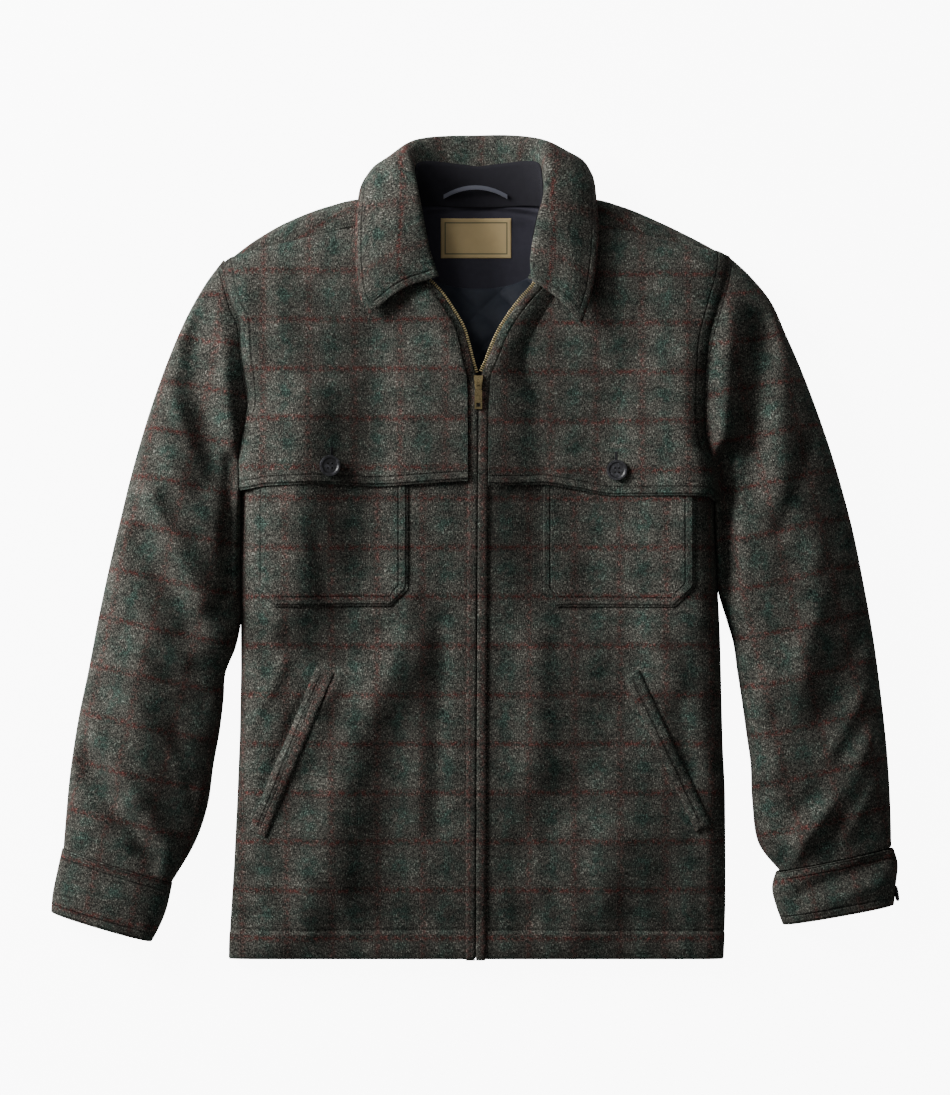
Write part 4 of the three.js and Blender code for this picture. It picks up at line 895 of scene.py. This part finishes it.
def materials():
    """Every material, made once."""
    if _made:
        return _made
    p = bpy.context.scene.jacket_looks
    colours = {key: tuple(getattr(p, key)) for key in ("ground", "deep", "teal", "red", "pale")}
    colours["sheen"] = linear(SHEEN)
    _made["wool"] = wool_material("wool", colours)
    _made["wool_one_row"] = wool_material("wool_one_row", colours, ONE_ROW)
    _made["wool_two_rows"] = wool_material("wool_two_rows", colours, TWO_ROWS)
    _made["black"] = plain_cloth("black_twill", tuple(p.black), 900.0, 0.85, 0.02)
    _made["band"] = plain_cloth("band_twill", linear(BAND_BLACK_SHADED), 900.0, 0.85, 0.02)
    _made["lining"] = plain_cloth("quilted_lining", tuple(p.lining), 1200.0, 0.5, 0.1)
    _made["tape"] = plain_cloth("zip_tape", linear(TAPE), 700.0, 0.8)
    _made["loop"] = plain_cloth("loop", linear(LOOP_PAINTED_HIGHLIGHT), 700.0, 0.5, 0.2)
    _made["label"] = label_material("label", tuple(p.label), linear(LABEL_LINE))
    _made["brass"] = metal_material("old_brass", tuple(p.brass), 0.38)
    _made["teeth"] = metal_material("tooth_brass", linear(TEETH), 0.5)
    _made["button"] = button_material("dark_button", linear(BUTTON), linear(BUTTON_STREAK))
    _made["thread"] = plain_cloth("thread", linear(THREAD), 900.0, 0.8)
    return _made


def uv_of(points, x0, y0, turn=0.0):
    """Cloth coordinates from a place seen from above: red lines cross at x0, y0."""
    x, y = points[..., 0] - x0, points[..., 1] - y0
    c, s = math.cos(turn), math.sin(turn)
    return np.stack((x * c + y * s, -x * s + y * c), -1) * MM


def laid_out(points, sign):
    """A front's grid with its steep side let down, so that the pattern isn't drawn out there."""
    step = np.diff(points, axis=1)
    wide = np.abs(step[..., 0])
    steep = ease((np.abs(step[..., 2]) / np.maximum(wide, 1e-6) - 0.8) / 0.6)
    drawn = (np.hypot(wide, step[..., 2]) - wide) * steep
    flat = points.copy()
    flat[:, 1:, 0] += sign * np.cumsum(drawn, 1)
    return flat


def spaced(low, high, step, ease_ends=()):
    """Values from low to high about a step apart, with extra ones near the ends."""
    count = max(2, int(round((high - low) / step)) + 1)
    values = np.linspace(low, high, count)
    extra = [low + e for e in ease_ends] + [high - e for e in ease_ends]
    return np.unique(np.concatenate((values, [e for e in extra if low < e < high])))


def add_front_layer(side, name, c, away, offset, check, material, edge=None, turn=0.0,
                    thick=WOOL, soften=0.6, nodes=()):
    """A layer of cloth on the front, with its check's crossing at a place."""
    points, outward = front_surface(side, c, away, offset)
    mesh = grid_mesh(name, points, uv_of(laid_out(points, side["sign"]), *check, turn), edge)
    face_up(mesh, outward)
    obj = new_object(name, mesh, material, nodes=nodes)
    thicken(obj, thick, soften)
    return obj


class JACKET_OT_body(bpy.types.Operator):
    """The back and the two fronts, with the placket strips beside the zip"""

    bl_idname = "jacket.body"
    bl_label = "Body"

    def execute(self, context):
        m = materials()
        for side in SIDES:
            self.front(side, m)
            self.placket(side, m)
        self.back(m)
        return {"FINISHED"}

    def front(self, side, m):
        """Close columns where the side turns down, and close rows at the hem's stitches"""
        name = side["name"]
        rows = spaced(0, TOP_ROW, 4.2, (1, 2, 26, 28, 29, 30, 31, 33))
        turned = 0.09
        closing = 1 - np.linspace(turned, 0, 14) ** 1.35 / turned**0.35
        share = np.concatenate((np.linspace(0, 0.9, 54), closing))
        c = np.repeat(rows[:, None], len(share), 1)
        cx, ex, _ey, _part, _above = row_ends(side, c)
        away = np.abs(ex - cx) * share[None, :]
        band = ease((HEM_BAND + 1.5 - c) / 3) * 0.6 - 0.9 * bump(c - HEM_BAND - 0.5, 1.8)
        band -= 1.0 * bump(c, 1.2)
        obj = add_front_layer(
            side, f"cloth_front_{name}", c, away, band, CHECK_FRONT[name],
            m["wool"], nodes=(f"front_{name}",),
        )

    def placket(self, side, m):
        name = side["name"]
        rows = spaced(0, PLACKET_TOP, 4.0)
        cols = np.array((0, 0.6, 1.5, 3, 5, 7, 8.6, 9.3, PLACKET_WIDTH))
        c = np.repeat(rows[:, None], len(cols), 1)
        away = np.repeat(cols[None, :], len(rows), 0)
        offset = YOKE_LIFT + 0 * c - 0.7 * bump(cols, 0.9) - 0.9 * bump(cols - PLACKET_WIDTH, 1.0)
        obj = add_front_layer(
            side, f"cloth_placket_{name}", c, away, offset, CHECK_FRONT[name],
            m["wool"], nodes=(f"placket_{name}",),
        )

    def back(self, m):
        """Flat rows with turned-up sides, and then the roll over the shoulders to the seam"""
        steps, shares = np.array(BACK_EDGE, float).T
        inner = np.linspace(-1, 1, BACK_COLUMNS + 2)[1:-1]
        lines = []
        for c in BACK_ROWS:
            ends = [row_ends(s, np.array(c)) for s in SIDES]
            part = float(ends[0][3]) if c >= UNDERARM_ROW else 0
            seam = mix(HEM_SEAM_HEIGHT, SIDE_SEAM_HEIGHT, clamp(c / HEM_RISE)) - GAP
            lift = seam * (1 - clamp(part * 5))
            low, high = ends[0][1] + steps, ends[1][1] - steps[::-1]
            xs = np.concatenate((low, mix(low[-1], high[0], (inner + 1) / 2), high))
            share = clamp((xs + SHOULDER_HALF) / (2 * SHOULDER_HALF))
            ys = mix(float(ends[0][2]), float(ends[1][2]), share)
            ys = np.minimum(ys, np.where(c > 600, back_top(xs)[0] - 6, ys))
            zs = np.concatenate((lift * shares, np.zeros(len(inner)), lift * shares[::-1]))
            lines.append(np.stack((xs, ys, zs), -1))
        template = lines[-1][:, 0]
        reach = np.where(template < 0, -template[0], template[-1])
        wide = template / reach * SHOULDER_HALF
        rest, bend_y, bend_z, seam_y, seam_z = back_top(wide)
        knots = np.stack(
            (
                np.stack((rest, np.zeros_like(rest)), -1),
                np.stack((mix(rest, bend_y, 0.75), bend_z * 0.3), -1),
                np.stack((bend_y, bend_z), -1),
                np.stack((mix(bend_y, seam_y, 0.35), mix(bend_z, seam_z, 0.75)), -1),
                np.stack((seam_y, seam_z), -1),
            )
        )
        turns = np.linspace(0, 4, ROLL_ROWS)
        over = through(knots, turns)
        for k, t in enumerate(turns):
            xs = mix(template, wide, (t + 1) / 5)
            lines.append(np.stack((xs, over[k, :, 0], np.maximum(over[k, :, 1], 0)), -1))
        points = np.array(lines)
        run = np.cumsum(np.linalg.norm(np.diff(points, axis=0), axis=-1), 0)
        laid = points[..., :2].copy()
        laid[1:, :, 1] = laid[0, :, 1] + run
        mesh = grid_mesh("cloth_back", points, uv_of(laid, *CHECK_BACK))
        face_up(mesh, -normals(points, (3, 40)))
        obj = new_object("cloth_back", mesh, m["wool"], nodes=("back",))
        thicken(obj, WOOL, 0.5)


def yoke_rows(side, share):
    """Row where the yoke's free edge crosses each share of the front's width."""
    c = np.full(share.shape, float(YOKE_HEM[side["name"]][0][1]))
    for _ in range(6):
        cx, ex, _ey, _part, _above = row_ends(side, c)
        x = mix(cx, ex, share)
        y = smooth(YOKE_HEM[side["name"]], x)
        c = y / mix(1, side["underarm"] / UNDERARM_ROW, ease(share))
    return c


def yoke_offset(side, away, below):
    """How far the yoke's face lies off the front: it lifts a little towards its free edge."""
    waver = 0.6 + 0.6 * wander(away, below, 30, 2.0 + side["sign"])
    return YOKE_TOP + np.maximum(1.4 * ease((38 - below) / 38) * waver, -0.2)


class JACKET_OT_yokes(bpy.types.Operator):
    """The yoke flaps, chest pockets and welts, each laid over the fronts"""

    bl_idname = "jacket.yokes"
    bl_label = "Yokes, pockets and welts"

    def execute(self, context):
        m = materials()
        for side in SIDES:
            self.yoke(side, m)
            self.pocket(side, m)
            self.welt(side, m)
        return {"FINISHED"}

    def yoke(self, side, m):
        name = side["name"]
        rise = spaced(0, 1, 1 / 76, (0.002, 0.005, 0.01, 0.016))
        cols = spaced(0, 1, 1 / 72, (0.003, 0.008))
        grid_t = np.repeat(rise[:, None], len(cols), 1)
        share_col = np.repeat(cols[None, :], len(rise), 0)
        start = yoke_rows(side, cols)[None, :]
        c = mix(start, TOP_ROW, grid_t)
        cx, ex, _ey, _part, above = row_ends(side, c)
        width = np.abs(ex - cx)
        inner = PLACKET_WIDTH + GAP
        outer = width - np.where(above, 0.3, 1.2)
        away = mix(inner, outer, share_col)
        below = c - start
        offset = yoke_offset(side, away, below) - 1.3 * bump(below, 1.4)
        offset -= 1.2 * bump(TOP_ROW - c, 2.5)
        edge = np.minimum(below, np.where(above, width - away, 60))
        obj = add_front_layer(
            side, f"cloth_yoke_{name}", c, away, offset, CHECK_YOKE[name],
            m["wool_two_rows"], edge=edge, nodes=(f"yoke_{name}",), soften=0.8,
        )

    def pocket(self, side, m):
        name = side["name"]
        near, far, top, bottom, near_cut, far_cut = POCKET[name]
        s = side["sign"]
        width = abs(far - near)
        across = spaced(0, width, 2.6, (0.5, 1.2, 2))
        up = spaced(0, 1, 1 / 50, (0.005, 0.012, 0.02))
        floor = bottom + np.maximum(near_cut - across, 0) + np.maximum(far_cut - (width - across), 0)
        x = near + s * np.repeat(across[None, :], len(up), 0)
        y = mix(floor[None, :], top, up[:, None])
        c, away = front_at(side, x, y)
        slope = np.where((across < near_cut) | (across > width - far_cut), 0.72, 1.0)
        edge = np.minimum(np.minimum(x * s - near * s, far * s - x * s), (y - floor[None, :]) * slope)
        offset = GAP + WOOL + 0.4 * ease(edge / 30) - 1.2 * bump(edge, 1.2) + 0 * x
        obj = add_front_layer(
            side, f"cloth_pocket_{name}", c, away, offset, CHECK_FRONT[name],
            m["wool_two_rows"], edge=edge, nodes=(f"chest_pocket_{name}",), soften=0.8,
        )

    def welt(self, side, m):
        name = side["name"]
        x1, y1, x2, y2, width = WELT[name]
        length = math.hypot(x2 - x1, y2 - y1)
        ux, uy = (x2 - x1) / length, (y2 - y1) / length
        down = spaced(0, length, 2.6, (0.6, 1.4))
        across = spaced(-width / 2, width / 2, 1.5, (0.5, 1.1))
        d, a = np.meshgrid(down, across, indexing="ij")
        x = x1 + ux * d - uy * a * side["sign"]
        y = y1 + uy * d + ux * a * side["sign"]
        c, away = front_at(side, x, y)
        edge = np.minimum(np.minimum(d, length - d), width / 2 - np.abs(a))
        offset = GAP + WOOL + 0.6 * ease(edge / 6) - 1.1 * bump(edge, 1.1)
        x0, y0 = CHECK_FRONT[name]
        obj = add_front_layer(
            side, f"cloth_welt_{name}", c, away, offset, (x0 + 20, y0 + 12), m["wool_one_row"],
            edge=edge, turn=math.atan2(ux, -uy), nodes=(f"welt_{name}",), soften=0.8,
        )


def ring_points(side, stations, t, angles):
    """Points of a flattened tube: stations at t, round by the angles."""
    first = stations[0]
    s = through(np.array(stations, float), t)
    ox, oy, ix, iy, height, bow = [s[:, k][:, None] for k in range(6)]
    share = ((1 - np.cos(angles)) / 2)[None, :]
    sine = np.abs(np.sin(angles))[None, :]
    top = (angles <= math.pi + 1e-9)[None, :]
    hole = smooth(side["armhole"], mix(side["shoulder"], side["underarm"], share))
    bend = hole - mix(first[0], first[2], share)
    x = mix(ox, ix, share) + np.maximum(bow, 0) * bend
    x = x + np.where(bow >= 1, side["sign"] * 0.2, 0)
    y = mix(oy, iy, share)
    under = SLEEVE_SIDE_HEIGHT * clamp(1 - RING_REST * sine) ** 2
    under = np.maximum(under, UNDERARM_LIFT * ease(4 * bow - 1) * ease(8 * share - 6.5))
    over = SLEEVE_SIDE_HEIGHT + (height - SLEEVE_SIDE_HEIGHT) * sine**RING_CROWN
    lift = fold_lift(x, y) + 1.0 * wander(x, y, 30, 4.0 * side["sign"])
    over = over + lift * ease(2 * sine - 0.6) * (1 - clamp(bow) ** 4)
    return np.stack((x, y, np.where(top, over, under)), -1)


class JACKET_OT_sleeves(bpy.types.Operator):
    """The sleeves and cuffs, as flattened tubes"""

    bl_idname = "jacket.sleeves"
    bl_label = "Sleeves and cuffs"

    def execute(self, context):
        m = materials()
        top = np.linspace(0, math.pi, RING_TOP)
        under = np.linspace(math.pi, 2 * math.pi, RING_UNDER)[1:-1]
        angles = np.concatenate((top, under))
        for side, sleeve, cuff in ((LEFT, SLEEVE_LEFT, CUFF_LEFT), (RIGHT, SLEEVE_RIGHT, CUFF_RIGHT)):
            # Kind, stations, rows of the grid, cloth, its thickness and softened edge
            pieces = (
                ("sleeve", sleeve, 170, m["wool_one_row"], WOOL, 0.6),
                ("cuff", cuff, 30, m["wool_two_rows"], CUFF_CLOTH, 1.2),
            )
            for kind, stations, rows, material, thick, soften in pieces:
                points = ring_points(side, stations, np.linspace(0, len(stations) - 1, rows), angles)
                self.tube(f"{kind}_{side['name']}", side, points, material, thick, soften)
        return {"FINISHED"}

    def tube(self, node, side, points, material, thick, soften):
        """A tube of rings, with its check laid out from the middle of its top"""
        girth = np.linalg.norm(np.roll(points, -1, 1) - points, axis=-1)
        around = np.concatenate((np.zeros((len(points), 1)), np.cumsum(girth, 1)), 1)
        run = np.linalg.norm(np.diff(points, axis=0), axis=-1)
        down = np.concatenate((np.zeros((1, points.shape[1])), np.cumsum(run, 0)), 0)
        down = mix(down.mean(1, keepdims=True), down, 0.5)
        middle = RING_TOP // 2
        reach = points[:, RING_TOP - 1, :2] - points[:, 0, :2]
        reach /= np.linalg.norm(reach, axis=-1, keepdims=True)
        away = around - around[:, middle : middle + 1]
        laid = points[:, middle : middle + 1, :2] + reach[:, None] * away[..., None]
        x0, y0 = CHECK_SLEEVE
        sign = side["sign"]
        uv = uv_of(laid, sign * x0, y0, sign * SLEEVE_LEAN)
        edge = down if thick == WOOL else np.minimum(down, down.max(0, keepdims=True) - down)
        outward = normals(points, (len(points) // 2, 20), ring=True)
        mesh = grid_mesh(f"cloth_{node}", points, uv, edge=edge, ring=True)
        face_up(mesh, outward)
        obj = new_object(f"cloth_{node}", mesh, material, nodes=(node,))
        thicken(obj, thick, soften)


class JACKET_OT_collar(bpy.types.Operator):
    """The collar, swept round the neck, and the black band inside its stand"""

    bl_idname = "jacket.collar"
    bl_label = "Collar"

    def execute(self, context):
        m = materials()
        t = np.linspace(0, len(COLLAR) - 1, 190)
        stations = through(np.array(COLLAR, float).reshape(len(COLLAR), -1), t).reshape(len(t), 5, 3)
        cross = np.unique(np.concatenate((np.linspace(0, 4, 44), [0.02, 0.05, 3.95, 3.98])))
        points = np.swapaxes(through(np.swapaxes(stations, 0, 1), cross), 0, 1)
        outward = normals(points, (95, 10))
        run = np.linalg.norm(np.diff(points, axis=1), axis=-1)
        wide = np.concatenate((np.zeros((len(t), 1)), np.cumsum(run, 1)), 1)
        ends = np.linalg.norm(np.diff(points, axis=0), axis=-1).mean(1)
        long = np.concatenate(([0], np.cumsum(ends)))
        long = np.repeat(long[:, None], len(cross), 1)
        edge = np.minimum(wide[:, -1:] - wide, np.minimum(long, long.max() - long) + 0.5)
        edge = np.where(cross[None, :] > 2, edge, 60)
        soft = 0.7 * wander(long, wide, 22, 1.0) * ease(edge / 25) * (cross[None, :] > 2)
        face = points + outward * (COLLAR_HALF + soft - 0.9 * bump(edge, 1.4))[..., None]
        uv = np.stack((long - long.max() / 2, wide[:, -1:] - wide), -1) * MM
        mesh = grid_mesh("cloth_collar", face, uv, edge=edge)
        face_up(mesh, outward)
        obj = new_object("cloth_collar", mesh, m["wool_one_row"], nodes=("collar",))
        thicken(obj, 2 * COLLAR_HALF, 1.4)

        self.band(m, t, stations, cross[cross <= self.band_share(0)], long, wide)
        return {"FINISHED"}

    def band(self, m, t, stations, inner, long, wide):
        """The black band inside the stand, drawn down to the facing behind the neck"""
        rows = slice(BAND_TRIM, -BAND_TRIM)
        away = np.abs(t[rows] - COLLAR_MIDDLE)
        share = inner[None, :] / inner.max() * self.band_share(away / COLLAR_MIDDLE)[:, None]
        band = np.array([through(base, at) for base, at in zip(stations[rows], share)])
        n = normals(band, (len(band) // 2, 5))
        down = band[:, 0] - band[:, 3]
        down /= np.linalg.norm(down, axis=-1, keepdims=True)
        reach = 8 * ease(1 - away / 3.5)[:, None]
        pull = (1 - clamp(np.arange(band.shape[1]) / 6))[None, :]
        band = band + n * (COLLAR_HALF + GAP + BAND_CLOTH) + down[:, None] * (reach * pull)[..., None]
        uv = np.stack((long[rows, : len(inner)], wide[rows, : len(inner)]), -1) * MM
        mesh = grid_mesh("cloth_neck_band", band, uv)
        face_up(mesh, n)
        obj = new_object("cloth_neck_band", mesh, m["band"], nodes=("neck_band",))
        thicken(obj, BAND_CLOTH)

    def band_share(self, away):
        """How far up the stand the band reaches, least at the middle of the back"""
        return mix(1.02, 1.75, clamp(away * 1.2))


def lining_seam(x):
    """The curved seam between the lining and the facing."""
    square = (np.asarray(x, float) - QUILT_X) ** 2
    return LINING["seam"] + SEAM_CURVE[0] * square + SEAM_CURVE[1] * square**2


def facing_height(x, y):
    """Top of the facing, which climbs the back where it turns up to the collar's seam."""
    rest, bend_y, bend_z, seam_y, seam_z = back_top(x)
    ahead = y + WOOL + 4 * GAP
    rise = bend_z * ease((ahead - rest + 10) / (bend_y - rest + 10))
    rise += (seam_z - bend_z) * ease((ahead - bend_y) / np.maximum(seam_y - bend_y, 3))
    return WOOL + GAP + 2.0 + rise + 0.4 * wander(x, y, 16, 5.0)


class JACKET_OT_inside(bpy.types.Operator):
    """The quilted lining, the black facing, the label and the hanger loop"""

    bl_idname = "jacket.inside"
    bl_label = "Inside"

    def execute(self, context):
        m = materials()
        self.lining(m)
        self.facing(m)
        self.label(m)
        dress("hanger_loop", m["loop"])
        return {"FINISHED"}

    def lining(self, m):
        u = np.linspace(LINING["left"], LINING["right"], 130)
        v = np.linspace(0, 1, 84)
        x = np.repeat(u[None, :], len(v), 0)
        y = mix(LINING["bottom"], lining_seam(x) - GAP, v[:, None])
        a = (x - QUILT_X) / size_of("quilt_width")
        b = (y - QUILT_Y) / size_of("quilt_height")
        puff = np.abs(np.sin(math.pi * (a + b)) * np.sin(math.pi * (a - b))) ** 0.35
        z = WOOL + GAP + 1.2 + size_of("quilt_lift") * puff + 0.5 * wander(x, y, 14, 3.0)
        obj = self.lay(np.stack((x, y, z), -1), "lining", "lining", m["lining"], "quilted_lining")

    def facing(self, m):
        left, right, under = FACING["left"], FACING["right"], FACING["under"]
        u = np.linspace(left - under, right + under, 80)
        v = np.linspace(0, 1, 60)
        x = np.repeat(u[None, :], len(v), 0)
        y = mix(lining_seam(np.clip(x, left, right)) - 1.5, FACING["top"], v[:, None])
        points = np.stack((x, y, facing_height(x, y)), -1)
        obj = self.lay(points, "facing", "neck_facing", m["black"], "black_twill")

    def lay(self, points, name, node, material, slot):
        """A thin sheet of lining cloth that lies face up"""
        mesh = grid_mesh(f"cloth_{name}", points, uv_of(points, 0, 0))
        face_up(mesh, UP)
        obj = new_object(f"cloth_{name}", mesh, material, nodes=(node,))
        thicken(obj, 0.8)
        return obj

    def label(self, m):
        w, h = LABEL["width"] / 2, LABEL["height"] / 2
        u, v = spaced(-w, w, 2.0, (0.5, 1.2)), spaced(-h, h, 2.0, (0.5, 1.2))
        x, y = np.meshgrid(u, v)
        edge = np.minimum(w - np.abs(x), h - np.abs(y))
        at_x, at_y = x + LABEL["x"], y + LABEL["y"]
        z = facing_height(at_x, at_y) + 1.0 - 0.4 * bump(edge, 0.7)
        points = np.stack((at_x, at_y, z), -1)
        mesh = grid_mesh("cloth_label", points, np.stack((x, y), -1) * MM)
        face_up(mesh, UP)
        obj = new_object("cloth_label", mesh, m["label"], nodes=("label",))
        thicken(obj, 0.6, 0.2)


def teeth_mesh(name, frames):
    """One mesh of small blocks with narrower tops: each frame is a place and three directions."""
    bm = bmesh.new()
    size = Matrix.Diagonal((*TOOTH, 1 / MM)) * MM
    for place, *directions in frames:
        frame_of_tooth = Matrix(np.array(directions).T).to_4x4()
        frame_of_tooth.translation = (place + SHIFT) * MM
        block = bmesh.ops.create_cube(bm, size=1, matrix=frame_of_tooth @ size)["verts"]
        space = frame_of_tooth.inverted()
        top = [v for v in block if (space @ v.co).z > 0]
        bmesh.ops.scale(bm, vec=(TOOTH_TAPER, TOOTH_TAPER, 1), space=space, verts=top)
    bmesh.ops.recalc_face_normals(bm, faces=bm.faces)
    mesh = bpy.data.meshes.new(name)
    bm.to_mesh(mesh)
    bm.free()
    return mesh


class JACKET_OT_zip(bpy.types.Operator):
    """The zip: two rows of brass teeth, the slider and its pull tab"""

    bl_idname = "jacket.zip"
    bl_label = "Zip"

    def execute(self, context):
        m = materials()
        for side in SIDES:
            self.teeth(side, m)
            dress(f"zip_tape_{side['name']}", m["tape"])
        for node in ("zip_slider", "zip_pull"):
            dress(node, m["brass"])
        return {"FINISHED"}

    def teeth(self, side, m):
        """Teeth along the front's free edge, half a pitch further on at the right"""
        c = np.linspace(ZIP_BOTTOM, ZIP_TOP, ZIP_POINTS)[:, None] * np.ones(3)
        away = np.array((0, 4, 8.0)) + 0 * c
        line = front_surface(side, c, away, 0 * c)[0][:, 0]
        run = np.concatenate(([0], np.cumsum(np.linalg.norm(np.diff(line, axis=0), axis=1))))

        def spot(d):
            return np.array([np.interp(d, run, line[:, k]) for k in range(3)])

        frames = []
        pitch = size_of("tooth_pitch")
        for d in np.arange(0.5 if side is LEFT else 0.5 + pitch / 2, run[-1], pitch):
            ahead = spot(d + 1) - spot(d - 1)
            ahead /= np.linalg.norm(ahead)
            out = np.cross(ahead, UP)
            out /= np.linalg.norm(out)
            if out[0] * side["sign"] > 0:
                out = -out
            frames.append((spot(d) + out * TOOTH_PLACE[0] + UP * TOOTH_PLACE[1], out, ahead, UP))
        name = f"teeth_{side['name']}"
        obj = new_object(
            name, teeth_mesh(name, frames), m["teeth"], nodes=(f"zip_{name}",),
        )
        bevel = obj.modifiers.new("worn edges", "BEVEL")
        bevel.width = 0.25 * MM
        bevel.segments = 1


class JACKET_OT_buttons(bpy.types.Operator):
    """The chest buttons, their thread and buttonholes, and the cuff button"""

    bl_idname = "jacket.buttons"
    bl_label = "Buttons"

    def execute(self, context):
        m = materials()
        for node in (*BUTTONS, "cuff_button"):
            dress(node, m["button"])
        for side in SIDES:
            self.buttonhole(side, m)
        return {"FINISHED"}

    def buttonhole(self, side, m):
        """Close stitches round a slit that reaches up past the button"""
        name = side["name"]
        x0, y0 = BUTTONS[f"button_{name}"]
        length, width = BUTTONHOLE
        up = spaced(-length / 2, length / 2, 0.5)
        across = spaced(-width / 2, width / 2, 0.35)
        u, v = np.meshgrid(across, up)
        x, y = x0 + u, y0 + v + length / 2
        c, away = front_at(side, x, y)
        cx, ex, _ey, _part, _above = row_ends(side, c)
        share = away / np.abs(ex - cx)
        below = c - yoke_rows(side, share)
        ends = np.minimum(width / 2 - np.abs(u), length / 2 - np.abs(v))
        stitch = 0.15 * np.sin(v * STITCHES) - 0.5 * bump(u, 0.35) - 0.4 * bump(ends, 0.3)
        offset = yoke_offset(side, away, below) + 0.5 + stitch
        add_front_layer(
            side, f"buttonhole_{name}", c, away, offset, (x0, y0), m["thread"],
            thick=0.5, soften=0,
        )


class JACKET_OT_stage(bpy.types.Operator):
    """Pale floor, soft light from the upper left, and a camera that looks straight down"""

    bl_idname = "jacket.stage"
    bl_label = "Stage"

    def execute(self, context):
        scene = context.scene
        bpy.ops.mesh.primitive_plane_add(size=FLOOR_SIZE, location=(0, 0, -0.0005))
        floor = context.object
        floor.name = "floor"
        t = Tree("floor")
        t.set(Base_Color=linear(FLOOR), Roughness=0.9, Emission_Color=(1, 1, 1, 1))
        seen = t.node("LightPath").outputs["Is Camera Ray"]
        t.link(t.times(seen, FLOOR_GLOW), "Emission Strength")
        floor.data.materials.append(t.material)

        world = bpy.data.worlds.new("studio")
        world.use_nodes = True
        world.node_tree.nodes["Background"].inputs[0].default_value = (1, 1, 1, 1)
        world.node_tree.nodes["Background"].inputs[1].default_value = WORLD_LIGHT
        scene.world = world
        for name, kind, place, target, size, power in LAMPS:
            data = bpy.data.lights.new(name, kind)
            data.energy = power
            if kind == "AREA":
                data.size = size
            else:
                data.shadow_soft_size = size
                data.spot_size = SPOT_CONE
                data.spot_blend = 1.0
            lamp = bpy.data.objects.new(name, data)
            lamp.location = place
            lamp.rotation_euler = (Vector(target) - Vector(place)).to_track_quat("-Z", "Y").to_euler()
            scene.collection.objects.link(lamp)

        data = bpy.data.cameras.new("camera")
        camera = bpy.data.objects.new("camera", data)
        scene.collection.objects.link(camera)
        camera.location = (0.0, 0.0, CAMERA_HEIGHT)
        data.sensor_width = 36
        data.lens = 36 * (CAMERA_HEIGHT - CLOTH_HEIGHT) / VIEW_HEIGHT
        data.dof.use_dof = False
        scene.camera = camera
        return {"FINISHED"}


class JACKET_PT_panel(bpy.types.Panel):
    """Lists the steps that dress the jacket"""

    bl_idname = "JACKET_PT_panel"
    bl_label = "Wool shirt jacket"
    bl_space_type = "VIEW_3D"
    bl_region_type = "UI"
    bl_category = "Jacket"

    def draw(self, context):
        for key in JacketLooks.__annotations__:
            self.layout.prop(context.scene.jacket_looks, key)
        for step in STEPS:
            self.layout.operator(step.bl_idname)


STEPS = (
    JACKET_OT_body,
    JACKET_OT_yokes,
    JACKET_OT_sleeves,
    JACKET_OT_collar,
    JACKET_OT_inside,
    JACKET_OT_zip,
    JACKET_OT_buttons,
    JACKET_OT_stage,
)
CLASSES = (JacketLooks, *STEPS, JACKET_PT_panel)


def register():
    for cls in CLASSES:
        bpy.utils.register_class(cls)
    bpy.types.Scene.jacket_looks = bpy.props.PointerProperty(type=JacketLooks)


def unregister():
    del bpy.types.Scene.jacket_looks
    for cls in reversed(CLASSES):
        bpy.utils.unregister_class(cls)


def main():
    register()
    bpy.ops.jacket.body()
    bpy.ops.jacket.yokes()
    bpy.ops.jacket.sleeves()
    bpy.ops.jacket.collar()
    bpy.ops.jacket.inside()
    bpy.ops.jacket.zip()
    bpy.ops.jacket.buttons()
    bpy.ops.jacket.stage()


if __name__ == "__main__":
    main()
